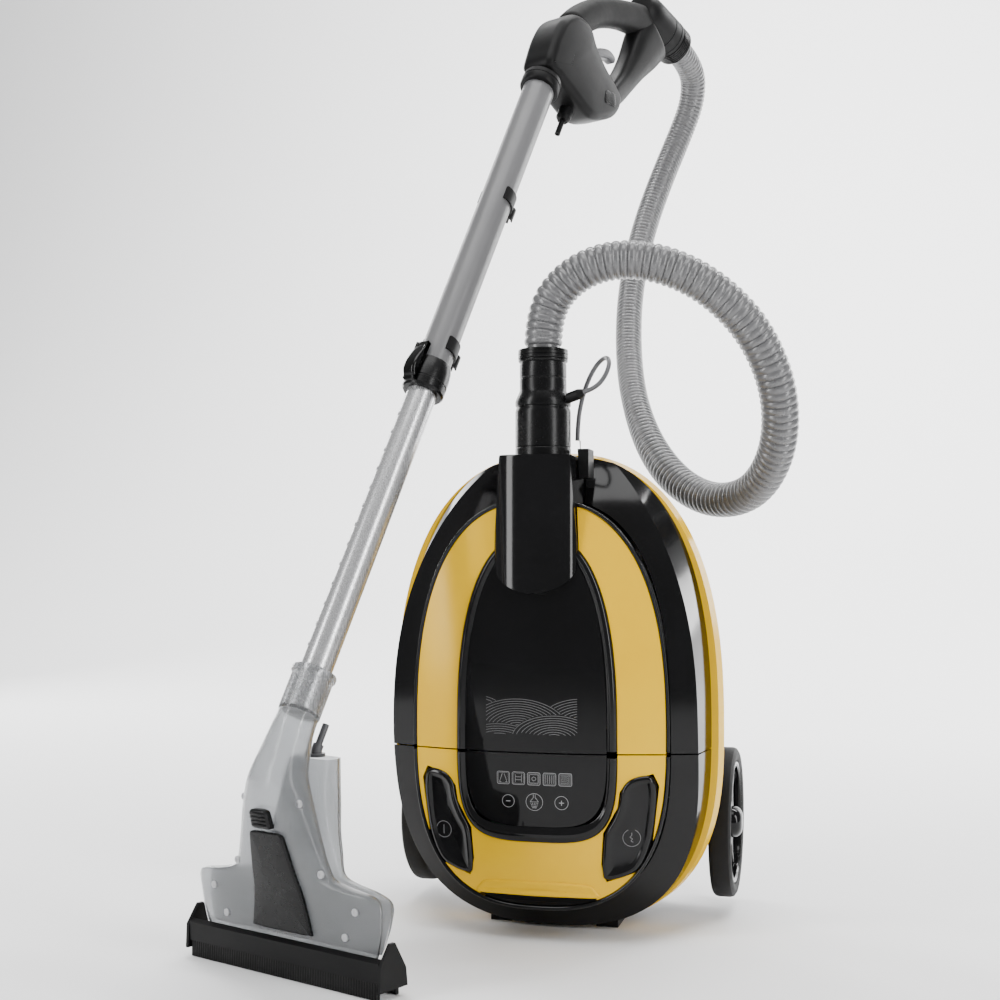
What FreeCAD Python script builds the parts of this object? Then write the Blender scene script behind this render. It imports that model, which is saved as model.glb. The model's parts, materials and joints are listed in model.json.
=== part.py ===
import FreeCAD, Part
import math
import os

import Sketcher
from FreeCAD import Placement, Rotation, Vector

# Wet and dry canister vacuum, parked on its rear end, with its hose, telescopic
# wand and extraction nozzle. Origin: centre of the standing face, on the floor.
# +Z up, the lid faces -Y, +X is the machine's right as it is looked at. Millimetres.
#
# Two more frames are used. The wand frame stands on the floor at the nozzle's lip:
# X along the lip, Y the way the wand leans back, Z up. The tube frame lies on the
# wand's axis, Z up along the tube, with its origin at the lower end of the sleeve.

DIMENSIONS = {
    # canister outline, seen from the lid side
    "belly_height": 200.0,
    "outline_power_top": 2.5,
    "outline_power_bottom": 2.7,
    "window_power_bottom": 4.0,
    "ring_half_width": 160.0,
    "ring_side_taper": 7.0,
    "ring_top_taper": 47.0,
    "rim_side_step": 11.0,
    "rim_top_step": 1.0,
    "housing_side_step": 10.0,
    "housing_top_step": 15.0,
    "ring_top": 477.0,
    "ring_bottom": 3.0,
    "ring_back_y": -48.0,
    "ring_corner_y": -100.0,
    "ring_wall": 4.0,
    "rim_bottom": 5.0,
    "rim_back_y": -21.0,
    "housing_bottom": 12.0,
    "housing_back_y": 104.0,
    "housing_round": 24.0,
    "shell_wall": 3.0,
    "surround_half_width": 128.0,
    "surround_top": 429.0,
    "surround_bottom": 31.0,
    "surround_thickness": 3.6,
    "window_half_width": 79.0,
    "window_top": 395.0,
    "window_bottom": 98.0,
    "bezel_width": 9.0,
    "seam_height": 184.0,
    "seam_gap": 1.4,
    "fit_gap": 0.5,
    # lid surface: a torus patch; its radii are the curvatures across and along the lid
    "lid_front_y": -130.0,
    "lid_radius_across": 400.0,
    "lid_radius_along": 1500.0,
    "lid_centre_height": 230.0,
    "ring_dome_radius": 405.0,
    "lid_side_depth": 44.0,
    # hose socket and cuff
    "socket_half_width_low": 42.0,
    "socket_side_wall": 7.5,
    "socket_back_wall": 1.7,
    "socket_top": 470.0,
    "socket_low": 368.0,
    "socket_shoulder_y": -119.0,
    "socket_bulge": 18.0,
    "cuff_y": -91.0,
    "cuff_radius": 27.3,
    "cuff_depth": 56.0,
    "cuff_lower_height": 47.0,
    "cuff_shoulder_height": 17.0,
    "cuff_neck_radius": 23.0,
    "cuff_neck_height": 31.0,
    "cuff_bore": 19.5,
    "swivel_radius": 24.6,
    "swivel_length": 10.0,
    "hose_diameter": 36.0,
    "hose_face_gap": 0.3,
    "water_tube_diameter": 4.5,
    # wheels
    "axle_y": 62.0,
    "axle_height": 93.0,
    "wheel_radius": 78.0,
    "wheel_width": 24.0,
    "wheel_side_gap": 1.0,
    "tyre_height": 14.0,
    "axle_radius": 6.0,
    "running_gap": 0.05,
    "caster_height": 400.0,
    "caster_radius": 14.0,
    "caster_width": 16.0,
    "ground_y": 140.0,
    # wand and handle
    "wand_x": -186.6,
    "wand_y": -279.2,
    "wand_turn": -22.15,
    "wand_lean": 29.35,
    "tube_origin_h": 9.5,
    "tube_origin_height": 229.0,
    "inner_tube_radius": 15.1,
    "inner_tube_wall": 1.0,
    "telescope_gap": 0.4,
    "outer_tube_wall": 1.9,
    "sleeve_wall": 4.4,
    "sleeve_length": 44.0,
    "collar_start": 349.0,
    "outer_tube_start": 366.0,
    "outer_tube_end": 768.0,
    "telescope_travel": 260.0,
    "handle_thickness": 42.0,
    "neck_radius": 24.5,
    # nozzle
    "nozzle_half_width": 112.0,
    "nozzle_wall": 2.5,
    "adapter_half_width": 118.0,
}


class Size:
    """A number from the sheet, or sums and products of them, with its expression."""

    def __init__(self, value, text):
        self.value = float(value)
        self.text = text

    def __float__(self):
        return self.value

    def _join(self, other, sign, value):
        text = other.text if isinstance(other, Size) else repr(float(other))
        return Size(value, f"({self.text} {sign} {text})")

    def __add__(self, other):
        return self._join(other, "+", self.value + float(other))

    def __sub__(self, other):
        return self._join(other, "-", self.value - float(other))

    def __mul__(self, other):
        return self._join(other, "*", self.value * float(other))

    def __truediv__(self, other):
        return self._join(other, "/", self.value / float(other))

    def __neg__(self):
        return Size(-self.value, f"(-1 * {self.text})")


def fixed(number):
    """A plain number as a Size, for a point that no driving size moves."""
    return Size(number, repr(float(number)))


class Sizes:
    """The driving sizes, read back from the document's sheet by name."""

    def __init__(self, document):
        self.sheet = document.addObject("Spreadsheet::Sheet", "Dimensions")
        for row, (name, value) in enumerate(DIMENSIONS.items(), start=1):
            self.sheet.set(f"A{row}", name)
            self.sheet.set(f"B{row}", str(value))
            self.sheet.setAlias(f"B{row}", name)
        document.recompute()

    @property
    def ring_corner_half_width(self):
        return self.ring_half_width - self.ring_side_taper

    @property
    def ring_corner_top(self):
        return self.ring_top - self.ring_top_taper

    @property
    def rim_half_width(self):
        return self.ring_half_width + self.rim_side_step

    @property
    def rim_top(self):
        return self.ring_top + self.rim_top_step

    @property
    def housing_half_width(self):
        return self.ring_half_width - self.housing_side_step

    @property
    def housing_top(self):
        return self.ring_top - self.housing_top_step

    @property
    def socket_half_width_top(self):
        return self.cuff_radius + self.socket_side_wall

    @property
    def socket_back_y(self):
        return self.cuff_y + self.cuff_radius + self.socket_back_wall

    @property
    def wheel_inner_x(self):
        return self.housing_half_width + self.wheel_side_gap

    @property
    def rim_radius(self):
        return self.wheel_radius - self.tyre_height

    @property
    def inner_tube_bore(self):
        return self.inner_tube_radius - self.inner_tube_wall

    @property
    def outer_tube_bore(self):
        return self.inner_tube_radius + self.telescope_gap

    @property
    def outer_tube_radius(self):
        return self.outer_tube_bore + self.outer_tube_wall

    @property
    def sleeve_radius(self):
        return self.inner_tube_radius + self.sleeve_wall

    def __getattr__(self, name):
        if name.startswith("_") or name not in DIMENSIONS:
            raise AttributeError(name)
        return Size(self.sheet.get(name), f"Dimensions.{name}")


doc = FreeCAD.newDocument("CanisterVacuum")
size = Sizes(doc)
parts = []

AT_ORIGIN = Placement()
UPRIGHT = Rotation()
ALONG_X = Rotation(Vector(0, 1, 0), 90)
ALONG_Y = Rotation(Vector(1, 0, 0), -90)


# ---------------------------------------------------------------- building blocks


def keep(obj, label, placement=AT_ORIGIN):
    """Note an object as a sub-part that is written to a file of its own."""
    obj.Label = label
    obj.Placement = placement
    parts.append(obj)
    return obj


def free_shape(label, shape, placement=AT_ORIGIN):
    """A sub-part whose curved shape no sketch or primitive gives."""
    obj = doc.addObject("Part::Feature", label)
    obj.Shape = shape.removeSplitter()
    return keep(obj, label, placement)


def plane_of(body, role):
    return next(f for f in body.Origin.OriginFeatures if f.Role == role)


def closed_sketch(body, role, points):
    """A closed outline of straight lines, each corner bound to the sheet."""
    sketch = body.newObject("Sketcher::SketchObject", body.Name + "_outline")
    sketch.AttachmentSupport = [(plane_of(body, role), "")]
    sketch.MapMode = "FlatFace"
    corners = [Vector(float(x), float(y), 0) for x, y in points]
    count = len(corners)
    for index in range(count):
        sketch.addGeometry(Part.LineSegment(corners[index], corners[(index + 1) % count]), False)
    for index in range(count):
        sketch.addConstraint(Sketcher.Constraint("Coincident", index, 2, (index + 1) % count, 1))
    for index, (x, y) in enumerate(points):
        for kind, axis, value in (("DistanceX", -2, x), ("DistanceY", -1, y)):
            if abs(float(value)) < 1e-9:
                sketch.addConstraint(Sketcher.Constraint("PointOnObject", index, 1, axis))
                continue
            number = sketch.addConstraint(Sketcher.Constraint(kind, -1, 1, index, 1, float(value)))
            if isinstance(value, Size) and "Dimensions" in value.text:
                sketch.setExpression(f"Constraints[{number}]", value.text)
    return sketch


def turned(label, points, placement=AT_ORIGIN):
    """A round piece: a closed (radius, height) outline turned about Z."""
    body = doc.addObject("PartDesign::Body", label)
    sketch = closed_sketch(body, "XZ_Plane", points)
    turn = body.newObject("PartDesign::Revolution", label + "_turn")
    turn.Profile = sketch
    turn.ReferenceAxis = (sketch, ["V_Axis"])
    turn.Angle = 360
    sketch.Visibility = False
    return keep(body, label, placement)


def tube_body(label, outer, inner, length, placement=AT_ORIGIN):
    """A plain round tube standing on the placement's XY plane."""
    corners = [(inner, fixed(0)), (outer, fixed(0)), (outer, length), (inner, length)]
    return turned(label, corners, placement)


def padded(label, role, points, length, placement=AT_ORIGIN):
    """A flat outline given a thickness, half of it to each side of the plane."""
    body = doc.addObject("PartDesign::Body", label)
    sketch = closed_sketch(body, role, points)
    pad = body.newObject("PartDesign::Pad", label + "_pad")
    pad.Profile = sketch
    pad.Midplane = True
    pad.Length = float(length)
    if "Dimensions" in length.text:
        pad.setExpression("Length", length.text)
    sketch.Visibility = False
    return keep(body, label, placement)


def cylinder(label, radius, height, placement=AT_ORIGIN):
    obj = doc.addObject("Part::Cylinder", label)
    obj.setExpression("Radius", radius.text)
    obj.setExpression("Height", height.text)
    return keep(obj, label, placement)


def block(label, sides, placement=AT_ORIGIN):
    obj = doc.addObject("Part::Box", label)
    for name, value in zip(("Length", "Width", "Height"), sides):
        obj.setExpression(name, value.text)
    return keep(obj, label, placement)


def group(label, shapes, placement=AT_ORIGIN):
    """Several alike pieces, such as screws, as separate solids of one node."""
    obj = doc.addObject("Part::Feature", label)
    obj.Shape = Part.makeCompound(shapes)
    return keep(obj, label, placement)


def join_nodes(label, pieces):
    """Put several built pieces in one node, as separate solids of it."""
    doc.recompute()
    shapes = []
    for piece in pieces:
        shapes.extend(piece.Shape.Solids)
        parts.remove(piece)
    return group(label, shapes)


def box_between(low, high):
    low, high = Vector(*low), Vector(*high)
    span = high - low
    return Part.makeBox(span.x, span.y, span.z, low)


# ------------------------------------------------------------------ outline solids


def egg_wire(half_width, top, bottom, y, lower_power):
    """The canister's closed outline at one depth: a superellipse half above the
    belly line and another below it, each with its own height and power."""
    belly = float(size.belly_height)
    points = []
    steps = 32
    for step in range(steps):
        angle = 2 * math.pi * step / steps
        across, up = math.cos(angle), math.sin(angle)
        power = float(size.outline_power_top) if up >= 0 else lower_power
        height = top - belly if up >= 0 else belly - bottom
        x = math.copysign(half_width * abs(across) ** (2 / power), across)
        z = belly + math.copysign(height * abs(up) ** (2 / power), up)
        points.append(Vector(x, y, z))
    curve = Part.BSplineCurve()
    curve.interpolate(Points=points, PeriodicFlag=True)
    return Part.Wire([curve.toShape()])


def egg_prism(half_width, top, bottom, front_y, back_y, lower_power=None):
    """A straight bar along Y with the canister's outline."""
    power = lower_power or float(size.outline_power_bottom)
    wire = egg_wire(half_width, top, bottom, front_y, power)
    return Part.Face(wire).extrude(Vector(0, back_y - front_y, 0))


def egg_loft(sections):
    """A solid through outlines given as (half width, top, bottom, y)."""
    power = float(size.outline_power_bottom)
    wires = [egg_wire(*section, power) for section in sections]
    return Part.makeLoft(wires, True, True)


def lid_block(offset=0.0):
    """Everything behind the lid's curved surface, moved out by offset."""
    along = float(size.lid_radius_along)
    across = float(size.lid_radius_across)
    centre = Vector(0, float(size.lid_front_y) + along, float(size.lid_centre_height))
    return Part.makeTorus(along - across, across + offset, centre, Vector(1, 0, 0))


def dome_block(offset=0.0):
    """Everything behind the ring's domed front face, moved out by offset."""
    radius = float(size.ring_dome_radius)
    centre = Vector(0, float(size.lid_front_y) + radius, float(size.lid_centre_height))
    return Part.makeSphere(radius + offset, centre)


def above_seam():
    low = float(size.seam_height + size.seam_gap / 2)
    return box_between((-250, -250, low), (250, 250, 600))


def below_seam():
    high = float(size.seam_height - size.seam_gap / 2)
    return box_between((-250, -250, -50), (250, 250, high))


def split_at_seam(shape):
    """The lid's solids and the base's solids of a shape that crosses the seam."""
    return shape.common(above_seam()).Solids + shape.common(below_seam()).Solids


# ------------------------------------------------------------------- canister shells


def socket_solid(gap=0.0):
    """The hose socket: a tapered upright bar with a round lower end and a bowed
    front, cut square at the back. A gap above zero gives the hole it sits in."""
    top = float(size.socket_top)
    low = float(size.socket_low)
    half_top = float(size.socket_half_width_top) + gap
    half_low = float(size.socket_half_width_low) + gap
    back = float(size.socket_back_y) + gap
    shoulder = float(size.socket_shoulder_y)
    front = shoulder - float(size.socket_bulge) - gap
    start_y = front - 1
    left_top = Vector(-half_top, start_y, top + 20 * bool(gap))
    right_top = Vector(half_top, start_y, top + 20 * bool(gap))
    left_low = Vector(-half_low, start_y, low)
    right_low = Vector(half_low, start_y, low)
    lowest = Vector(0, start_y, low - 0.74 * half_low)
    edges = [
        Part.LineSegment(right_low, right_top).toShape(),
        Part.LineSegment(right_top, left_top).toShape(),
        Part.LineSegment(left_top, left_low).toShape(),
        Part.Arc(left_low, lowest, right_low).toShape(),
    ]
    bar = Part.Face(Part.Wire(edges)).extrude(Vector(0, back - start_y, 0))
    bow = Part.Ellipse(Vector(0, shoulder, 300), half_low, shoulder - front).toShape()
    bowed = Part.Face(Part.Wire([bow])).extrude(Vector(0, 0, 220))
    square = box_between((-half_low, shoulder, 300), (half_low, back, 520))
    return bar.common(bowed.fuse(square))


def ring_outer(inset=0.0):
    """The bumper ring's outside: outlines that grow from the front corner to the
    back, behind a domed front face."""
    front_y = float(size.ring_corner_y) - 40
    back_y = float(size.ring_back_y)
    share = (back_y - front_y) / (back_y - float(size.ring_corner_y))
    half_back = float(size.ring_half_width)
    top_back = float(size.ring_top)
    half_front = half_back + (float(size.ring_corner_half_width) - half_back) * share
    top_front = top_back + (float(size.ring_corner_top) - top_back) * share
    bottom = float(size.ring_bottom)
    loft = egg_loft(
        [
            (half_front - inset, top_front - inset, bottom + inset, front_y),
            (half_back - inset, top_back - inset, bottom + inset, back_y),
        ]
    )
    return loft.common(dome_block(-inset))


def make_ring():
    """The gloss bumper ring round the lid: a channel, open at the back."""
    wall = float(size.ring_wall)
    inner = float(size.surround_half_width + size.fit_gap)
    inner_top = float(size.surround_top + size.fit_gap)
    inner_bottom = float(size.surround_bottom - size.fit_gap)
    hole = egg_prism(inner, inner_top, inner_bottom, -200, 0)
    core_wall = egg_prism(inner + wall, inner_top + wall, inner_bottom - wall, -200, 0)
    core = ring_outer(wall).cut(core_wall)
    ring = ring_outer().cut(hole).cut(core).cut(socket_solid(float(size.fit_gap)))
    free_shape("ring_upper", ring.common(above_seam()))
    free_shape("ring_lower", ring.common(below_seam()))


def rim_outer(grow=0.0):
    """The band's outside; grow moves it out on every side."""
    half, top = float(size.rim_half_width) + grow, float(size.rim_top) + grow
    bottom = float(size.rim_bottom) - grow
    front_y, back_y = float(size.ring_back_y) - grow, float(size.rim_back_y) + grow
    return egg_loft(
        [
            (half - 4, top - 3, bottom, front_y),
            (half, top, bottom, (front_y + back_y) / 2),
            (half - 2, top - 2, bottom, back_y),
        ]
    )


def make_rim():
    """The coloured band behind the ring."""
    wall = float(size.shell_wall)
    half, top, bottom = (float(size.rim_half_width), float(size.rim_top), float(size.rim_bottom))
    front_y, back_y = float(size.ring_back_y), float(size.rim_back_y)
    outer = rim_outer()
    inner_half = float(size.housing_half_width + size.fit_gap)
    inner_top = float(size.housing_top + size.fit_gap)
    inner_bottom = float(size.housing_bottom - size.fit_gap)
    hole = egg_prism(inner_half, inner_top, inner_bottom, -100, 50)
    hollow = egg_prism(half - 2 * wall, top - 2 * wall, bottom + 2, front_y + wall, back_y - wall)
    collar = egg_prism(inner_half + wall, inner_top + wall, inner_bottom - wall, -100, 50)
    band = outer.cut(hole).cut(hollow.cut(collar))
    free_shape("rim_band", band)


def housing_solid(inset=0.0):
    half = float(size.housing_half_width) - inset
    top = float(size.housing_top) - inset
    bottom = float(size.housing_bottom) + inset
    back = float(size.housing_back_y) - inset
    turn = float(size.housing_round)
    front = float(size.ring_back_y) + 0.4
    return egg_loft([(half, top, bottom, front), (half, top, bottom, back - turn)]).fuse(
        egg_loft(
            [
                (half, top, bottom, back - turn),
                (half - 0.3 * turn, top - 0.3 * turn, bottom + 0.2 * turn, back - 0.35 * turn),
                (half - turn, top - turn, bottom + 0.6 * turn, back),
            ]
        )
    )


def make_housing():
    """The rear shell, open towards the lid, with a stiffening ledge inside."""
    wall = float(size.shell_wall)
    inside = housing_solid(wall)
    front = float(size.ring_back_y)
    mouth = egg_prism(
        float(size.housing_half_width) - wall,
        float(size.housing_top) - wall,
        float(size.housing_bottom) + wall,
        front - 10,
        front + 5,
    )
    shell = housing_solid().cut(inside).cut(mouth)
    hole = Part.makeCylinder(
        float(size.axle_radius) + 0.3,
        400,
        Vector(-200, float(size.axle_y), float(size.axle_height)),
        Vector(1, 0, 0),
    )
    shell = shell.cut(hole)
    free_shape("rear_housing", shell)


def lid_cap(half, top, bottom, lower_power, offset, back_y):
    """A curved plate with side walls, open at the back."""
    wall = float(size.shell_wall)
    outer = egg_prism(half, top, bottom, -200, back_y, lower_power).common(lid_block(offset))
    inner = egg_prism(half - wall, top - wall, bottom + wall, -200, back_y + 1, lower_power)
    return outer.cut(inner.common(lid_block(offset - wall)))


def panel_outline():
    return float(size.surround_half_width), float(size.surround_top), float(size.surround_bottom)


def pedal_face(side, gap=0.0):
    """One pedal's outline as a face in front of the lid; side is -1 or 1."""
    corners = [(112, 165), (117, 154), (110, 96), (99, 73), (68, 62)]
    corners += [(64, 78), (66, 108), (80, 133), (82, 148), (91, 159)]
    points = [Vector(side * x, -190, z) for x, z in corners]
    face = Part.Face(Part.makePolygon(points + points[:1]))
    return face.makeOffset2D(gap) if gap else face


def pedal_bar(side, gap=0.0):
    return pedal_face(side, gap).extrude(Vector(0, 110, 0))


def make_lid_panels():
    """The coloured panels, the black window with its bezel, and their surround."""
    power = float(size.outline_power_bottom)
    low_power = float(size.window_power_bottom)
    gap = float(size.fit_gap)
    back_y = float(size.lid_front_y + size.lid_side_depth)
    socket_hole = socket_solid(gap)
    half, top, bottom = panel_outline()
    thick = float(size.surround_thickness)

    frame = egg_prism(half, top, bottom, -200, back_y + 20).common(lid_block(0.6))
    frame = frame.cut(egg_prism(half - thick, top - thick, bottom + thick, -200, 0)).cut(socket_hole)
    group("panel_surround", split_at_seam(frame))

    inset = thick + gap
    panel = lid_cap(half - inset, top - inset, bottom + inset, power, 0.0, back_y)
    window = (float(size.window_half_width), float(size.window_top), float(size.window_bottom))
    window_hole = egg_prism(window[0] + gap, window[1] + gap, window[2] - gap, -200, 0, low_power)
    panel = panel.cut(window_hole).cut(socket_hole)
    free_shape("lid_panel", panel.common(above_seam()))
    lower = panel.common(below_seam())
    for side in (-1, 1):
        lower = lower.cut(pedal_bar(side, 0.8))
    grip = box_between((-58, -200, bottom - 5), (58, back_y - 12, bottom + inset + 10))
    free_shape("grip_panel", lower.cut(grip))

    bezel_width = float(size.bezel_width)
    bezel = egg_prism(*window, -200, back_y - 26, low_power).common(lid_block(2.2))
    pane_outline = (window[0] - bezel_width, window[1] - bezel_width, window[2] + 1.6 * bezel_width)
    bezel = bezel.cut(egg_prism(*pane_outline, -200, 0, low_power)).cut(socket_hole)
    group("window_bezel", split_at_seam(bezel))
    inner = (pane_outline[0] - gap, pane_outline[1] - gap, pane_outline[2] + gap)
    pane = egg_prism(*inner, -200, 0, low_power).common(lid_block(0.8)).cut(lid_block(-2.4))
    pane = pane.cut(socket_hole).cut(box_between((-200, -100, 0), (200, 2000, 500)))
    free_shape("lid_window", pane.common(above_seam()))
    free_shape("control_panel", pane.common(below_seam()))


def make_pedals():
    half, top, bottom = panel_outline()
    inset = float(size.surround_thickness) + 1.0
    gap = float(size.fit_gap)
    window = egg_prism(
        float(size.window_half_width) + gap,
        float(size.window_top) + gap,
        float(size.window_bottom) - gap,
        -200,
        0,
        float(size.window_power_bottom),
    )
    for side, label in ((-1, "power_pedal"), (1, "rewind_pedal")):
        pedal = pedal_bar(side).common(lid_block(1.6)).cut(lid_block(-9.0))
        pedal = pedal.common(egg_prism(half - inset, top - inset, bottom + inset, -180, -80))
        pedal = pedal.cut(window)
        free_shape(label, pedal)


def make_socket():
    """The hose socket with its bore, and the small water port beside it."""
    gap = 0.3
    bore_bottom = float(size.socket_top - size.cuff_depth - gap)
    bore = Part.makeCylinder(float(size.cuff_radius) + gap, 200, Vector(0, float(size.cuff_y), bore_bottom))
    duct = Part.makeCylinder(float(size.cuff_bore), 200, Vector(0, float(size.cuff_y), bore_bottom - 30))
    free_shape("hose_socket", socket_solid().cut(bore).cut(duct))
    port_x, port_y = 33.0, -84.0
    half_top = float(size.socket_half_width_top)
    top = float(size.socket_top) + 7
    lug = box_between((half_top + 0.4, -98, top - 28), (half_top + 12, -72, top))
    ledge = box_between((28.5, -90, top - 6.5), (half_top + 1, -78, top))
    spigot = Part.makeCylinder(3.2, 9, Vector(port_x, port_y, top))
    cuff_room = Part.makeCylinder(float(size.cuff_radius) + 0.4, 60, Vector(0, float(size.cuff_y), top - 40))
    port = lug.fuse(ledge).fuse(spigot).cut(cuff_room)
    port = port.cut(egg_prism(140, 430, 30, -200, 0)).cut(ring_outer()).cut(socket_solid(0.3))
    free_shape("water_port", port)


def make_feet():
    """Two runners joined by a crossbar, under the rear end."""
    gap = 0.3
    shells = housing_solid(-gap).fuse(rim_outer(gap))
    inner_x, outer_x = 44, 66
    bars = box_between((-inner_x, -14, 0), (inner_x, 14, 10))
    for side in (-1, 1):
        low_x, high_x = sorted((side * inner_x, side * outer_x))
        bars = bars.fuse(box_between((low_x, -44, 0), (high_x, 92, 30)))
    runners = max(bars.cut(shells).Solids, key=lambda part: part.Volume)
    group("standing_feet", [runners])


# --------------------------------------------------------------------- cuff and hose


def cuff_place(height):
    return Placement(Vector(0, float(size.cuff_y), float(height)), UPRIGHT)


def make_cuff():
    """The hose end that plugs into the socket, its shoulder and its swivel ring."""
    zero = fixed(0)
    low_length = size.cuff_depth + size.cuff_lower_height - 0.3
    base = size.socket_top - size.cuff_depth
    lower = tube_body("cuff_lower", size.cuff_radius, size.cuff_bore, low_length, cuff_place(base))
    shoulder_base = base + low_length + 0.3
    shoulder = size.cuff_shoulder_height
    neck_end = shoulder + size.cuff_neck_height
    outline = [
        (size.cuff_bore, zero),
        (size.cuff_radius, zero),
        (size.cuff_radius, shoulder * 0.4),
        (size.cuff_neck_radius, shoulder),
        (size.cuff_neck_radius, neck_end),
        (size.cuff_bore, neck_end),
    ]
    upper = turned("cuff_upper", outline, cuff_place(shoulder_base))
    join_nodes("hose_cuff", [lower, upper])
    ring_base = shoulder_base + neck_end + 0.3
    ring_place = cuff_place(ring_base)
    tube_body("cuff_swivel", size.swivel_radius, size.cuff_bore - 2, size.swivel_length, ring_place)
    return ring_base + size.swivel_length + size.hose_face_gap


def cord_tube(label, route, diameter):
    """A round cord: straight runs joined by tangent arcs, each arc as large as its
    two runs allow. The radii and the volume are printed."""
    points = [Vector(*point) for point in route]
    edges, radii = [], []
    start = points[0]
    for before, corner, after in zip(points, points[1:], points[2:]):
        back, ahead = before - corner, after - corner
        half_turn = (math.pi - back.getAngle(ahead)) / 2
        cut = 0.45 * min(back.Length, ahead.Length)
        radii.append(cut / math.tan(half_turn))
        first = corner + back.normalize() * cut
        last = corner + ahead.normalize() * cut
        bisector = (back + ahead).normalize()
        middle = corner + bisector * (radii[-1] / math.cos(half_turn) - radii[-1])
        edges.append(Part.LineSegment(start, first).toShape())
        edges.append(Part.Arc(first, middle, last).toShape())
        start = last
    edges.append(Part.LineSegment(start, points[-1]).toShape())
    path = Part.Wire(edges)
    radius = float(diameter) / 2
    direction = points[1] - points[0]
    section = Part.Wire([Part.Circle(points[0], direction, radius).toShape()])
    solid = path.makePipeShell([section], True, False)
    length = path.Length
    share = solid.Volume / (math.pi * radius**2 * length)
    print(f"{label}: length {length:.0f}, radii {[round(r) for r in radii]}, volume share {share:.4f}")
    return free_shape(label, solid)


def hose_route(start_height):
    return [
        (0, float(size.cuff_y), float(start_height)),
        (0, float(size.cuff_y), float(start_height) + 35),
        (25, -93, 645),
        (68, -92, 662),
        (118, -86, 656),
        (166, -74, 631),
        (205, -55, 589),
        (226, -29, 533),
        (222, 4, 478),
        (194, 46, 438),
        (148, 92, 431),
        (100, 140, 455),
        (60, 190, 503),
        (32, 242, 568),
        (18, 290, 640),
        (15, 328, 715),
        (24, 369, 795),
        (42, 404, 868),
        (63, 424, 928),
        (83, 418, 975),
    ]


def make_hose(start_height):
    """The main hose, from the cuff to the handle's swivel ring."""
    end = wand_point(*hose_end_hz())
    direction = wand_direction(*neck_direction())
    route = hose_route(start_height) + [tuple(end + direction * 46), tuple(end)]
    cord_tube("hose", route, size.hose_diameter)


def make_water_tube():
    """The small tube from the water port to the strain relief on the cuff."""
    start = (33, -84, float(size.socket_top) + 16.3)
    end = Vector(43.5, -103.5, float(size.socket_top) + 61.2)
    route = [start] + [(x, y, z + float(size.socket_top)) for x, y, z in WATER_TUBE_BENDS] + [tuple(end)]
    cord_tube("water_tube", route, size.water_tube_diameter)
    root = Vector(25.6, -97.5, float(size.socket_top) + 56.2)
    lean = end - root
    outline = [
        (fixed(0), fixed(0)),
        (fixed(5.2), fixed(0)),
        (fixed(5.2), fixed(lean.Length * 0.7)),
        (fixed(3.4), fixed(lean.Length - 0.3)),
        (fixed(0), fixed(lean.Length - 0.3)),
    ]
    place = Placement(root, Rotation(Vector(0, 0, 1), lean))
    relief = turned("relief_blank", outline, place)
    doc.recompute()
    parts.remove(relief)
    keep_out = Part.makeCylinder(float(size.cuff_radius) + 0.1, 120, Vector(0, float(size.cuff_y), 460))
    free_shape("tube_relief", relief.Shape.cut(keep_out))


WATER_TUBE_BENDS = [
    (33, -82, 35),
    (36, -79, 56),
    (42, -77, 76),
    (52, -80, 92),
    (63, -90, 97),
    (69, -103, 89),
    (66, -111, 75),
    (56, -107.7, 64.6),
]


# ----------------------------------------------------------------- wheels and caster


def make_wheels():
    """Two spoked wheels with tyres on stub axles."""
    radius, rim, width = size.wheel_radius, size.rim_radius, size.wheel_width
    bore = size.axle_radius + size.running_gap
    zero = fixed(0)
    rods = []
    for side, name in ((-1, "left"), (1, "right")):
        spin = Rotation(Vector(0, 1, 0), 90 * side)
        base = Vector(side * float(size.wheel_inner_x), float(size.axle_y), float(size.axle_height))
        place = Placement(base, spin)
        tyre = [
            (rim + 0.2, zero + 1.0),
            (radius - 3, zero + 1.0),
            (radius, zero + 4.0),
            (radius, width - 5),
            (radius - 4, width),
            (rim + 0.2, width - 1),
        ]
        turned(f"wheel_{name}_tyre", tyre, place)
        hub = [
            (bore, zero + 0.5),
            (fixed(15), zero + 0.5),
            (fixed(15), fixed(9)),
            (rim - 5, fixed(9)),
            (rim - 5, fixed(2)),
            (rim, fixed(2)),
            (rim, width - 3),
            (rim - 5, width - 3),
            (rim - 5, fixed(14)),
            (fixed(17), fixed(17)),
            (fixed(15), width + 1),
            (fixed(10), width + 5),
            (fixed(0), width + 5),
            (fixed(0), fixed(21.6)),
            (bore, fixed(21.6)),
        ]
        turned(f"wheel_{name}_rim", hub, place)
        inner_end = float(size.wheel_inner_x) - 24
        start = Vector(side * inner_end, float(size.axle_y), float(size.axle_height))
        rods.append(cylinder(f"axle_{name}", size.axle_radius, fixed(44.5), Placement(start, spin)))
    return rods


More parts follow.
